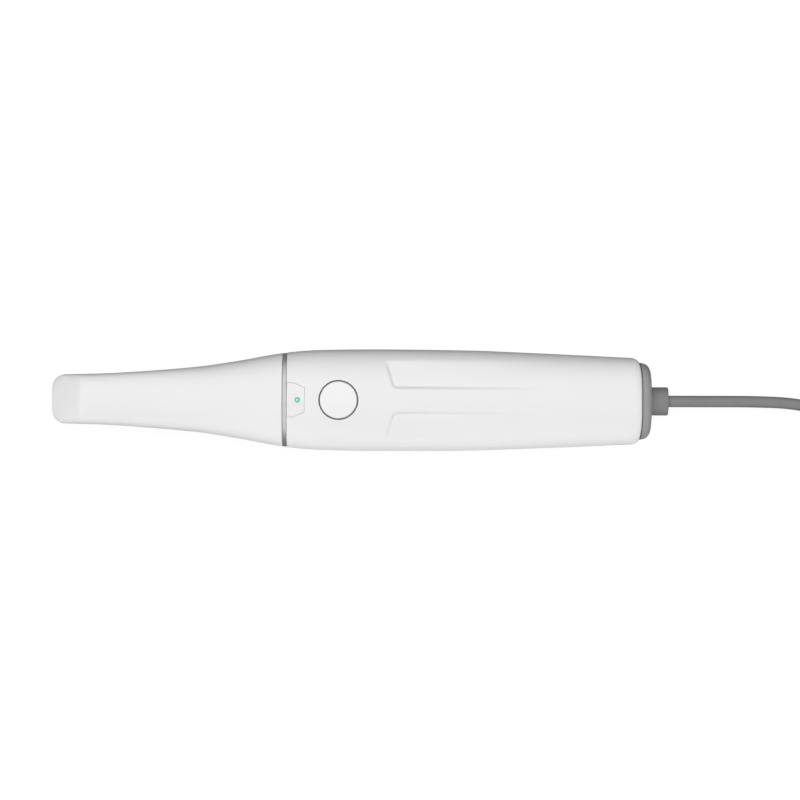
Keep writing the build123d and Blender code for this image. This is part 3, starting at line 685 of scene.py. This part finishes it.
# ---- Back and belly shells ----
SHELL_FRONT_X = COLLAR_X[1] + 0.05
SEAM_GAP = 0.06
RIM_ROUND = 0.22
COLUMN_STEP = 0.4
BACK_COLUMNS = 30
BELLY_COLUMNS = 31
SIDE_STEPS = 26
WINDOW_CORNER_X = -26.2
WINDOW_REAR_X = -21.6
WINDOW_BLEND_X = -18.9
WINDOW_HALVES = (6.9, 4.9)
WINDOW_COLUMN = 6.0
BUTTON_SQUARE = 10.4
HOLE_RADIUS = 7.92
SPINE_HALF = 4.4
SCOOP_FRONT = ((9.7, 15.5), (13.2, 4.4))
SCOOP_BLEND = 0.8
SCOOP_DEPTH = 1.8
SCOOP_RISER = 1.0
SCOOP_FRONT_RISER = 1.25
SCOOP_END_X = 77.0
SCOOP_ROWS_X = (9.0, 18.0)
REAR_ROWS_X = 106.0
REAR_ROWS = 8
REAR_WALL_SHARE = 0.45
BELLY_FLAT = 0.12
POCKET_PLACES = ((24.5, 9.0), (102.5, 9.0))
POCKET_SQUARE = 3.4
POCKET_RADIUS = 2.45


def soft_min(a, b, blend):
    return (a + b - math.sqrt((a - b) ** 2 + blend * blend)) / 2


def scoop_share(x, y):
    """0 outside a grip scoop, 1 inside it, with a soft riser between."""
    (x_out, y_out), (x_in, y_in) = SCOOP_FRONT
    run = math.hypot(x_out - x_in, y_out - y_in)
    behind = ((x - x_in) * (y_out - y_in) + (y - y_in) * (x_in - x_out)) / run
    share = soft_min(behind / SCOOP_FRONT_RISER, (y - y_in) / SCOOP_RISER, SCOOP_BLEND)
    return smooth_step(0.0, 1.0, share)


def scoop_depth(x, y):
    """How deep the flat facet of a scoop is cut below the back."""
    y = abs(y)
    outer_y = SCOOP_FRONT[0][1]
    if not (SCOOP_FRONT[0][0] - 1 < x < SCOOP_END_X and SPINE_HALF < y < outer_y):
        return 0.0
    inner = height(x, SPINE_HALF) - SCOOP_DEPTH
    floor = inner + (height(x, outer_y) - inner) * (y - SPINE_HALF) / (outer_y - SPINE_HALF)
    fade = min((SCOOP_END_X - x) / (SCOOP_END_X - SCOOP_FRONT[1][0]), 1.0)
    return max(height(x, y) - floor, 0.0) * scoop_share(x, y) * fade


def window_half(x):
    """Half width of the status window's outline, run on behind it."""
    wide, narrow = WINDOW_HALVES
    if x < WINDOW_CORNER_X:
        return wide
    if x < WINDOW_REAR_X:
        return wide + (narrow - wide) * (x - WINDOW_CORNER_X) / (WINDOW_REAR_X - WINDOW_CORNER_X)
    return narrow + (WINDOW_COLUMN - narrow) * smooth_step(WINDOW_REAR_X, WINDOW_BLEND_X, x)


def window_column(x, y):
    """Move a column so that the one at WINDOW_COLUMN follows the window's outline."""
    half = window_half(x)
    flat_half = BACK_COLUMNS * COLUMN_STEP
    if abs(y) <= WINDOW_COLUMN:
        return y * half / WINDOW_COLUMN
    beyond = (abs(y) - WINDOW_COLUMN) / (flat_half - WINDOW_COLUMN)
    return math.copysign(half + beyond * (flat_half - half), y)


def back_height(x, y, inset=0.0):
    return height(x, y, 1, inset) - scoop_depth(x, y)


def belly_height(x, y, inset=0.0):
    """The belly, with the flat strip that it rests on."""
    z = height(x, y, -1, inset)
    return (z + math.hypot(z, BELLY_FLAT)) / 2


def side_points(x, seam_z, flat_half, side, inset):
    """Points up or down one flank, from the seam to where the flat columns start."""
    seam_y = side_reach(x, seam_z, inset)
    start = side_angle(x, seam_y, seam_z, inset)
    stop = side_angle(x, flat_half, height(x, flat_half, side, inset), inset)
    return [at_angle(x, start + (stop - start) * k / SIDE_STEPS, inset) for k in range(SIDE_STEPS)]


def shell_row(x, side):
    """Row across the back (side 1) or the belly (side -1): up one flank, over and down the other."""
    inset = rear_inset(x)
    columns = BACK_COLUMNS if side > 0 else BELLY_COLUMNS
    lift = back_height if side > 0 else belly_height
    flank = side_points(x, SEAM_Z + side * SEAM_GAP, columns * COLUMN_STEP, side, inset)
    if side > 0:
        flank = [(x, y, z - scoop_depth(x, y)) for x, y, z in flank]
    across = [k * COLUMN_STEP for k in range(-columns, columns + 1)]
    if side > 0:
        across = [window_column(x, y) for y in across]
    flat = [(x, y, lift(x, y, inset)) for y in across]
    return [(px, -py, pz) for px, py, pz in flank] + flat + flank[::-1]


def rear_stations(start):
    """Stations round the shell's rear corner, closer together towards the rim."""
    reach = SHELL_REAR_X - start
    return [start + reach * math.sin(turn) for turn in quarter_turn(REAR_ROWS, 1)]


def wall_share(x):
    """The shell's wall thins behind its rounded rear corner."""
    return max(1 - rear_inset(x) / HANDLE_WALL, REAR_WALL_SHARE)


def add_shell(name, rows, patches, squares, node):
    """A shell from rows across it, open in the squares, with a round hole's patch in each square that a patch
    is given for.
    """
    points = [p for row in rows for p in row]
    faces = grid_faces(rows, False, squares)
    for patch in patches:
        hole_patch(points, faces, *patch)
    points, faces = used_only(points, faces)
    shell = add_piece(name, [bowed(p) for p in points], faces, "shell_white", "handle")
    outwards(shell, (0, 0, SEAM_Z))
    thicken(shell, HANDLE_WALL, RIM_ROUND, share_at=wall_share)
    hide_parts(node)


def nearest(values, target):
    return min(range(len(values)), key=lambda k: abs(values[k] - target))


def square_hole(stations, width, middle, half, radius, lift, rings):
    """Grid lines, loop and rim of a round hole within a square of the shell's grid."""
    x, y = middle
    i0, i1 = nearest(stations, x - half), nearest(stations, x + half)
    centre = width // 2
    j0 = centre + round((y - half) / COLUMN_STEP)
    j1 = centre + round((y + half) / COLUMN_STEP)
    patch = (
        loop_round(width, i0, i1, j0, j1), lambda px, py: circle_rim(px, py, x, y, radius), lift, rings,
    )
    return (i0, i1, j0, j1), patch


def add_top_shell():
    corner_x = SHELL_REAR_X - REAR_ROUND[0]
    button_x = (BUTTON_X - BUTTON_SQUARE, BUTTON_X + BUTTON_SQUARE)
    stations = spans(
        (SHELL_FRONT_X, WINDOW_CORNER_X, 6), (WINDOW_CORNER_X, WINDOW_REAR_X, 12),
        (WINDOW_REAR_X, button_x[0], 8), (*button_x, 52), (button_x[1], SCOOP_ROWS_X[0], 12),
        (*SCOOP_ROWS_X, 30), (SCOOP_ROWS_X[1], SCOOP_END_X, 56), (SCOOP_END_X, REAR_ROWS_X, 30),
        (REAR_ROWS_X, corner_x, 6),
    ) + rear_stations(corner_x)
    rows = [shell_row(x, 1) for x in stations]
    width = len(rows[0])
    square, patch = square_hole(
        stations, width, (BUTTON_X, 0.0), BUTTON_SQUARE, HOLE_RADIUS, back_height, 6,
    )
    window_row = nearest(stations, WINDOW_REAR_X)
    window_reach = round(WINDOW_COLUMN / COLUMN_STEP)
    window = (0, window_row, width // 2 - window_reach, width // 2 + window_reach)
    add_shell("back_cover", rows, [patch], [square, window], "top_shell")


def add_bottom_shell():
    corner_x = SHELL_REAR_X - REAR_ROUND[0]
    edges = [x + side * POCKET_SQUARE for x, _ in POCKET_PLACES for side in (-1, 1)]
    stations = spans(
        (SHELL_FRONT_X, edges[0], 60), (edges[0], edges[1], 17), (edges[1], edges[2], 60),
        (edges[2], edges[3], 17), (edges[3], corner_x, 8),
    ) + rear_stations(corner_x)
    rows = [shell_row(x, -1) for x in stations]
    width = len(rows[0])
    middles = [(x, side * y) for x, y in POCKET_PLACES for side in (-1, 1)]
    holes = [
        square_hole(stations, width, middle, POCKET_SQUARE, POCKET_RADIUS, belly_height, 4)
        for middle in middles
    ]
    squares = [square for square, patch in holes]
    patches = [patch for square, patch in holes]
    add_shell("belly_cover", rows, patches, squares, "bottom_shell")


# ---- Tip ----
TIP_WINDOW_X = (-120.0, -104.0)
TIP_WINDOW_HALF = 6.6
TIP_WINDOW_CORNER = 1.2
TIP_BELLY_HALF = 7.4
TIP_BELLY_STEPS = 32
TIP_ROUND_STEPS = 100
TIP_FIT = 0.81
TIP_WINDOW_MARGIN = 1.0
TIP_END_STEPS = (0.0, 0.06, 0.22, 0.48, 0.85, 1.3, 1.85)
TIP_NECK_X = (-60.0, -34.0)
TIP_MIDDLE = (-80.0, 0.0, 17.0)


def tip_row(x):
    """Closed row: across the belly in fixed columns, then round the sides and the top."""
    reach = min(TIP_BELLY_HALF, TIP_FIT * half_width(x))
    across = [reach * (2 * k / TIP_BELLY_STEPS - 1) for k in range(TIP_BELLY_STEPS + 1)]
    belly = [(x, y, height(x, y, -1)) for y in across]
    start = side_angle(x, reach, belly[-1][2])
    stop = math.pi - start
    angles = [start + (stop - start) * k / TIP_ROUND_STEPS for k in range(1, TIP_ROUND_STEPS)]
    return belly + [at_angle(x, angle) for angle in angles]


def add_tip_shell():
    """Tapered sleeve with a closed, rounded front end and its window's hole in the belly."""
    patch_x = (TIP_WINDOW_X[0] - TIP_WINDOW_MARGIN, TIP_WINDOW_X[1] + TIP_WINDOW_MARGIN)
    stations = [TIP_END_X + step for step in TIP_END_STEPS] + spans(
        (*patch_x, 45), (patch_x[1], TIP_NECK_X[0], 40), (*TIP_NECK_X, 28), (TIP_NECK_X[1], TIP_REAR_X, 8),
    )
    rows = [tip_row(x) for x in stations]
    points = [p for row in rows for p in row]
    i0, i1 = nearest(stations, patch_x[0]), nearest(stations, patch_x[1])
    faces = grid_faces(rows, True, [(i0, i1, 0, TIP_BELLY_STEPS)])
    middle = sum(TIP_WINDOW_X) / 2
    half = TIP_WINDOW_X[1] - middle

    def rim(x, y):
        return rounded_rim(x, y, middle, half, TIP_WINDOW_HALF, TIP_WINDOW_CORNER)

    loop = loop_round(len(rows[0]), i0, i1, 0, TIP_BELLY_STEPS)
    hole_patch(points, faces, loop, rim, lambda x, y: height(x, y, -1), 3)
    first = rows[0]
    hub = [sum(p[axis] for p in first) / len(first) for axis in range(3)]
    points.append(tuple(hub))
    width = len(first)
    faces += [((j + 1) % width, j, len(points) - 1) for j in range(width)]
    tip = add_piece("tip_sleeve", *used_only(points, faces), "tip_white", "tip")
    outwards(tip, TIP_MIDDLE)
    thicken(tip, TIP_WALL, RIM_ROUND)
    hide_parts("tip_shell")


# ---- Collar, button and status light ----
ROUND_STEPS = 128


def section_ring(x, inset):
    return [at_angle(x, TAU * k / ROUND_STEPS, inset) for k in range(ROUND_STEPS)]


def circle_x(x, radius):
    """Ring round the lead's axis."""
    turn = [TAU * k / ROUND_STEPS for k in range(ROUND_STEPS)]
    return [(x, radius * math.cos(a), LEAD_Z + radius * math.sin(a)) for a in turn]


COLLAR_GAP = 0.03
COLLAR_EDGE = ((0.0, 0.42), (0.05, 0.24), (0.2, 0.14), (0.45, 0.12))


def add_collar():
    """Metal hoop whose two edges are rounded by COLLAR_EDGE: distance from the face, inset."""
    front, rear = COLLAR_X[0] + COLLAR_GAP, COLLAR_X[1] - COLLAR_GAP
    inner = BARREL_INSET - COLLAR_GAP
    profile = [(front, inner)] + [(front + depth, inset) for depth, inset in COLLAR_EDGE]
    profile += [(rear - depth, inset) for depth, inset in reversed(COLLAR_EDGE)] + [(rear, inner)]
    rings = [section_ring(x, inset) for x, inset in profile]
    collar = add_ring_piece("collar_ring", rings, True, "satin_ring")
    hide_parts("tip_collar")


BUTTON_RADIUS = 7.4
BUTTON_EDGE = 0.45
BUTTON_CROWN = 0.22
BUTTON_SIDE = 1.5
BUTTON_FACE_RINGS = 14
BUTTON_EDGE_STEPS = 6
BUTTON_FLANGE = (8.8, 32.6, 33.4)
FLANGE_ROUND = 0.1
STEM = (1.6, 31.9)
STEM_FILLET = 0.2
RING_STEPS = 96


def round_ring(x, radius, z, steps=RING_STEPS):
    """Ring about a vertical axis; z is a height or tells it from the place."""
    turns = [TAU * k / steps for k in range(steps)]
    places = [(x + radius * math.cos(a), radius * math.sin(a)) for a in turns]
    return [(px, py, z(px, py) if callable(z) else z) for px, py in places]


def below_back(drop):
    return lambda x, y: height(x, y) - drop


def button_crown(radius):
    return BUTTON_CROWN * (1 - (radius / BUTTON_RADIUS) ** 2)


def add_button():
    """Crowned cap with a rounded edge, over its flange and stem, in one piece."""
    face_radius = BUTTON_RADIUS - BUTTON_EDGE
    profile = []
    for k in range(1, BUTTON_FACE_RINGS + 1):
        radius = face_radius * k / BUTTON_FACE_RINGS
        profile.append((radius, below_back(-button_crown(radius))))
    for turn in quarter_turn(BUTTON_EDGE_STEPS, 1):
        radius = face_radius + BUTTON_EDGE * math.sin(turn)
        drop = BUTTON_EDGE * (1 - math.cos(turn)) - button_crown(radius)
        profile.append((radius, below_back(drop)))
    flange_radius, low, high = BUTTON_FLANGE
    stem_radius, stem_low = STEM
    profile += [
        (BUTTON_RADIUS, below_back(BUTTON_SIDE)), (BUTTON_RADIUS, high + FLANGE_ROUND),
        (BUTTON_RADIUS + FLANGE_ROUND, high), (flange_radius - FLANGE_ROUND, high),
        (flange_radius, high - FLANGE_ROUND), (flange_radius, low + FLANGE_ROUND),
        (flange_radius - FLANGE_ROUND, low), (stem_radius + STEM_FILLET, low),
        (stem_radius, low - STEM_FILLET), (stem_radius, stem_low),
    ]
    rings = [round_ring(BUTTON_X, radius, z) for radius, z in profile]
    button = add_ring_piece("button_cover", rings, False, "button_white", "button")
    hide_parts("button_cap")


GASKET_RADII = (7.48, 7.9)
GASKET_LIP = (9.1, 33.6, 34.1)
GASKET_DROP = 0.12
GASKET_ROUND = (0.08, 0.1)


def add_gasket():
    """Rubber ring round the button, with a lip under the back cover."""
    inner, outer = GASKET_RADII
    across, down = GASKET_ROUND
    lip_radius, lip_low, lip_high = GASKET_LIP
    top, edge = below_back(GASKET_DROP), below_back(GASKET_DROP + down)
    profile = [
        (inner, lip_low), (inner, edge), (inner + across, top), (outer - across, top), (outer, edge),
        (outer, lip_high), (lip_radius, lip_high), (lip_radius, lip_low),
    ]
    rings = [round_ring(BUTTON_X, radius, z) for radius, z in profile]
    gasket = add_ring_piece("button_ring", rings, True, "grey_rubber")
    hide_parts("button_gasket")


PANE_GAP = 0.1
PANE_DROP = 0.03
PANE_WALL = 1.2
PANE_ROUND = 0.1
LED_HOLE = 1.06
LED_SQUARE = 1.6


def add_status_pane():
    """Pane in the notch between the collar and the back, with the light pipe's hole."""
    stations = spans(
        (SHELL_FRONT_X, LED_X - LED_SQUARE, 6), (LED_X - LED_SQUARE, LED_X + LED_SQUARE, 8),
        (LED_X + LED_SQUARE, WINDOW_REAR_X - PANE_GAP, 4),
    )
    reach = round(WINDOW_COLUMN / COLUMN_STEP)

    def lift(x, y):
        return height(x, y) - PANE_DROP

    rows = []
    for x in stations:
        share = (window_half(x) - PANE_GAP) / WINDOW_COLUMN
        inner = [k * COLUMN_STEP for k in range(-reach, reach + 1)]
        across = [y * (1 + (share - 1) * smooth_step(LED_SQUARE, WINDOW_COLUMN, abs(y))) for y in inner]
        rows.append([(x, y, lift(x, y)) for y in across])
    width = len(rows[0])
    square, patch = square_hole(stations, width, (LED_X, 0.0), LED_SQUARE, LED_HOLE, lift, 2)
    points = [p for row in rows for p in row]
    faces = grid_faces(rows, False, [square])
    hole_patch(points, faces, *patch)
    pane = add_piece("status_pane", *used_only(points, faces), "status_pane", "handle")
    outwards(pane, (LED_X, 0.0, 0.0))
    thicken(pane, PANE_WALL, PANE_ROUND, 2)
    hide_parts("status_window")


ROD_STEPS = 32
ROD_DOME = 0.1
ROD_DROP = 0.12
ROD_NECK = 0.6
ROD_EDGE = 0.1


def add_light_pipe():
    """Small lit rod with a domed top that stands just proud of its pane."""
    radius = (LED_HIGH[0] - LED_LOW[0]) / 2
    low, top = LED_LOW[2], LED_HIGH[2] - ROD_DROP
    turns = quarter_turn(6, 1)
    profile = [(radius * math.sin(turn), top + ROD_DOME * math.cos(turn)) for turn in turns]
    profile += [(radius, top - ROD_NECK), (radius, low + ROD_EDGE), (radius - ROD_EDGE, low)]
    rings = [round_ring(LED_X, ring_radius, z, ROD_STEPS) for ring_radius, z in profile]
    pipe = add_ring_piece("light_rod", rings, False, "status_green")
    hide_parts("light_pipe")


# ---- Rear end ----
CAP_LIP_X = 109.6
CAP_LIP_INSET = 3.2
CAP_LIP_GAP = 0.1
CAP_FACE_INSET = 1.65
CAP_TAPER = 0.22
CAP_ROUND = (1.9, 2.7)
CAP_FACE_GAP = 0.28
CAP_GROOVE = ((0.0, 1.4), (0.0, 0.8), (0.0, 0.4), (0.05, 0.22), (0.14, 0.1))
CAP_ROUND_STEPS = 18
CAP_FACE_SHARES = (0.35, 0.7, 1.0)
CAP_HOLE = 5.75
CAP_MOUTH = ((0.08, 0.1), (0.3, 0.0))
CAP_MOUTH_ROUND = 0.3
FLANGE_SEAT = (7.35, 112.65)


def cap_inset(x):
    """The cap tapers a little, then turns into its rear face."""
    taper = CAP_TAPER * (x - SHELL_REAR_X)
    return CAP_FACE_INSET + taper + round_off(x - (CAP_REAR_X - CAP_ROUND[0]), *CAP_ROUND)


def mixed_ring(first, second, share):
    return [tuple(a + (b - a) * share for a, b in zip(p, q)) for p, q in zip(first, second)]


def add_rear_cap():
    """Rounded grey cap: lip inside the shells, thin groove, curved face and lead hole."""
    face_x = SHELL_REAR_X + CAP_FACE_GAP
    rings = [section_ring(x, CAP_LIP_INSET) for x in (CAP_LIP_X, SHELL_REAR_X - CAP_LIP_GAP)]
    rings += [section_ring(face_x + behind, CAP_FACE_INSET + more) for behind, more in CAP_GROOVE]
    start = CAP_REAR_X - CAP_ROUND[0]
    corner = [start + CAP_ROUND[0] * math.sin(turn) for turn in quarter_turn(CAP_ROUND_STEPS)]
    rings += [section_ring(x, cap_inset(x)) for x in corner]
    outer = rings[-1]
    hole = circle_x(CAP_REAR_X, CAP_HOLE + CAP_MOUTH_ROUND)
    rings += [mixed_ring(outer, hole, share) for share in CAP_FACE_SHARES]
    seat_radius, seat_x = FLANGE_SEAT
    bore = [(CAP_REAR_X - depth, CAP_HOLE + wider) for depth, wider in CAP_MOUTH]
    bore += [(seat_x, CAP_HOLE), (seat_x, seat_radius), (CAP_LIP_X, seat_radius)]
    rings += [circle_x(x, radius) for x, radius in bore]
    rings = [[bowed(p) for p in ring] for ring in rings]
    cap = add_ring_piece("end_cap", rings, True, "cap_grey")
    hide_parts("rear_cap")


RELIEF = (5.65, 0.55)
RELIEF_FLANGE = (7.3, 110.6, 112.6)
RELIEF_MOUTH = 0.5
RELIEF_BORE_GAP = 0.02


def add_strain_relief():
    """Short rubber sleeve with a soft rear edge and a rounded mouth for the lead."""
    radius, edge = RELIEF
    flange_radius, flange_front, flange_rear = RELIEF_FLANGE
    bore = LEAD_RADIUS + RELIEF_BORE_GAP
    profile = [
        (flange_front, bore), (flange_front, flange_radius), (flange_rear, flange_radius),
        (flange_rear, radius),
    ]
    for turn in quarter_turn(6):
        across = radius - edge + edge * math.cos(turn)
        profile.append((RELIEF_END_X - edge + edge * math.sin(turn), across))
    mouth = RELIEF_MOUTH
    for turn in quarter_turn(4):
        across = bore + mouth - mouth * math.sin(turn)
        profile.append((RELIEF_END_X - mouth + mouth * math.cos(turn), across))
    rings = [circle_x(x, across) for x, across in profile]
    sleeve = add_ring_piece("lead_sleeve", rings, True, "relief_grey")
    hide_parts("strain_relief")


# ---- Strap and plug ----
CORNER_STEPS = 10
LEAST_FLAT = 0.01


def rounded_box_ring(x, middle, half_y, half_z, corner):
    """Ring across X in the shape of a rounded rectangle."""
    y0, z0 = middle
    corner = min(corner, half_y - LEAST_FLAT, half_z - LEAST_FLAT)
    ring = []
    for quarter, (sy, sz) in enumerate(((1, 1), (-1, 1), (-1, -1), (1, -1))):
        for k in range(CORNER_STEPS + 1):
            angle = math.pi / 2 * (quarter + k / CORNER_STEPS)
            py = y0 + sy * (half_y - corner) + corner * math.cos(angle)
            pz = z0 + sz * (half_z - corner) + corner * math.sin(angle)
            ring.append((x, py, pz))
    return ring


STRAP_HALF = 4.0
STRAP_THICK = 0.7
STRAP_ROOM = 0.15
STRAP_LIFT = 0.04
STRAP_EDGE = 0.15
STRAP_CORNER = 2.3


def add_strap():
    """Hook-and-loop band round the hank's waist."""
    low, high = box_mm("lead_strap")
    middle_x = (low[0] + high[0]) / 2
    centre = (HANK_Y, (HANK_LOW_Z + HANK_TOP_Z) / 2)
    half_y = HANK_RADII[1] + LEAD_RADIUS - HANK_PINCH + STRAP_ROOM
    half_z = (HANK_TOP_Z - HANK_LOW_Z) / 2 + LEAD_RADIUS + STRAP_LIFT
    half, thick, edge = STRAP_HALF, STRAP_THICK, STRAP_EDGE
    profile = [
        (-half, 0.0), (-half, thick - edge), (edge - half, thick), (half - edge, thick),
        (half, thick - edge), (half, 0.0),
    ]
    rings = [
        rounded_box_ring(middle_x + x, centre, half_y + out, half_z + out, STRAP_CORNER + out)
        for x, out in profile
    ]
    strap = add_ring_piece("lead_tie", rings, True, "strap_black")
    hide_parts("lead_strap")
    return strap


# Distance from the grip's front end and inset.
GRIP_FRONT = ((0.0, 2.6), (0.25, 1.9), (0.9, 1.3), (3.0, 0.7), (4.6, 0.35))
GRIP_GROOVE = ((0.0, 0.35), (0.25, 0.75), (1.0, 0.75), (1.25, 0.35))
GRIP_GROOVES_AT = (6.0, 8.4, 10.8)
GRIP_REAR_START = (13.6, 0.2)
# Distance from the grip's rear end and inset.
GRIP_REAR = ((1.4, 0.0), (0.5, 0.1), (0.12, 0.35), (0.0, 0.8))
GRIP_TAPER = (4.0, 1.3)
GRIP_CORNER = 2.4


def add_plug_grip():
    """Overmoulded grip: a slimmer nose, three grooves across it and a soft end."""
    low, high = box_mm("plug_body")
    centre = ((low[1] + high[1]) / 2, (low[2] + high[2]) / 2)
    half_y, half_z = (high[1] - low[1]) / 2, (high[2] - low[2]) / 2
    length = high[0] - low[0]
    profile = [*GRIP_FRONT, *((at + x, inset) for at in GRIP_GROOVES_AT for x, inset in GRIP_GROOVE)]
    profile += [GRIP_REAR_START, *((length - x, inset) for x, inset in GRIP_REAR)]
    taper_length, taper = GRIP_TAPER
    rings = []
    for x, inset in profile:
        slim = 1 + taper * max(0.0, 1 - x / taper_length)
        rings.append(rounded_box_ring(low[0] + x, centre, half_y - inset * slim, half_z - inset, GRIP_CORNER))
    grip = add_ring_piece("plug_grip", rings, False, "plug_grey")
    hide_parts("plug_body")
    return grip


# ---- Lead ----
HANK_ENDS_X = (224.0, 294.0)
HANK_Y = 6.0
HANK_LOW_Z = 3.2
HANK_TOP_Z = 17.06
HANK_RADII = (13.8, 18.5)
HANK_PINCH = 11.45
HANK_ROWS = 4
CHANGE_SPAN = 0.08
QUARTER_STEPS = 8
RUN_SHARE = 0.29
LEAD_ROUTE = (
    (RELIEF_END_X, 0.0, LEAD_Z), (138.0, 0.0, 16.8), (158.0, 0.1, 11.6), (176.0, -0.6, 6.4),
    (192.0, -4.6, 3.7), (205.0, -10.2, 3.2), (216.0, -12.5, HANK_LOW_Z),
)
END_ROUTE = (
    (304.0, -11.0, HANK_TOP_Z), (318.0, -10.9, 15.2), (333.0, -10.2, 8.8), (346.0, -9.3, 4.8),
    (355.0, -9.0, 4.1),
)


def hank_lane(turns):
    """Distance from the hank's middle line and height of the lead after so many turns.

    The lead alternates between a step across its row and a climb to the next row. Each
    step is made a little earlier in the turn than the last, so that the turns stay clear.
    """
    outer_share = 1.0
    rows = 0.0
    for change in range(2 * HANK_ROWS - 1):
        start = (change + 1) * (1 - CHANGE_SPAN)
        done = smooth_step(start, start + CHANGE_SPAN, turns)
        if change % 2:
            rows += done
        else:
            outer_share += done if change % 4 else -done
    reach = HANK_RADII[0] + (HANK_RADII[1] - HANK_RADII[0]) * outer_share
    return reach, HANK_LOW_Z + rows * (HANK_TOP_Z - HANK_LOW_Z) / (HANK_ROWS - 1)


def waist_line(x, reach):
    """Distance of a lane from the middle line on a straight run, drawn in at the strap."""
    middle = sum(HANK_ENDS_X) / 2
    half = HANK_ENDS_X[1] - middle
    phase = math.pi * (x - middle) / half
    pinch = HANK_PINCH * (1 + math.cos(phase)) / 2
    slope = HANK_PINCH * math.sin(phase) * math.pi / half / 2
    return HANK_RADII[0] - pinch + (reach - HANK_RADII[0]) * math.hypot(1, slope)


def hank_spot(turns):
    """Control point of the folded lead: low run, far fold, high run and near fold in each turn."""
    start, end = HANK_ENDS_X
    reach, z = hank_lane(turns)
    along = turns % 1
    side = -1 if along < 0.5 else 1
    part = along % 0.5
    if part < RUN_SHARE:
        x = start + (end - start) * part / RUN_SHARE
        x = x if side < 0 else start + end - x
        return x, HANK_Y + side * waist_line(x, reach), z
    angle = math.pi * ((part - RUN_SHARE) / (0.5 - RUN_SHARE) - 0.5)
    grown = reach / math.cos(math.pi / QUARTER_STEPS / 2)
    x = end + grown * math.cos(angle) if side < 0 else start - grown * math.cos(angle)
    return x, HANK_Y - side * grown * math.sin(angle), z


def hank_points():
    """Seven turns and a last low run, which ends in the top row."""
    half_turn = [RUN_SHARE * k / QUARTER_STEPS for k in range(QUARTER_STEPS)]
    half_turn += [RUN_SHARE + (0.5 - RUN_SHARE) * k / QUARTER_STEPS for k in range(QUARTER_STEPS)]
    turn = half_turn + [0.5 + share for share in half_turn]
    shares = [whole + share for whole in range(2 * HANK_ROWS - 1) for share in turn]
    shares += [2 * HANK_ROWS - 1 + share for share in half_turn[:QUARTER_STEPS + 1]]
    return [hank_spot(share) for share in shares]


def add_lead():
    """One smooth cable from the strain relief through the hank to the plug."""
    curve = bpy.data.curves.new("lead_cable", "CURVE")
    curve.dimensions = "3D"
    spline = curve.splines.new("NURBS")
    points = [*LEAD_ROUTE, *hank_points(), *END_ROUTE]
    spline.points.add(len(points) - 1)
    for spot, place in zip(spline.points, points):
        spot.co = (*[c * MM for c in place], 1.0)
    spline.order_u = 3
    spline.use_endpoint_u = True
    spline.resolution_u = 6
    curve.bevel_depth = LEAD_RADIUS * MM
    curve.bevel_resolution = 5
    curve.use_fill_caps = True
    curve.materials.append(MATERIALS["lead_grey"])
    cable = add_object("lead_cable", curve)
    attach(cable, "handle")
    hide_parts("lead", "lead_hank", "lead_end")
    return cable


def build():
    add_studio()
    cable = add_lead()
    add_strap()
    add_plug_grip()
    add_tip_shell()
    add_collar()
    add_top_shell()
    add_bottom_shell()
    add_button()
    add_gasket()
    add_status_pane()
    add_light_pipe()
    add_rear_cap()
    add_strain_relief()
    dress_cad_nodes()


build()
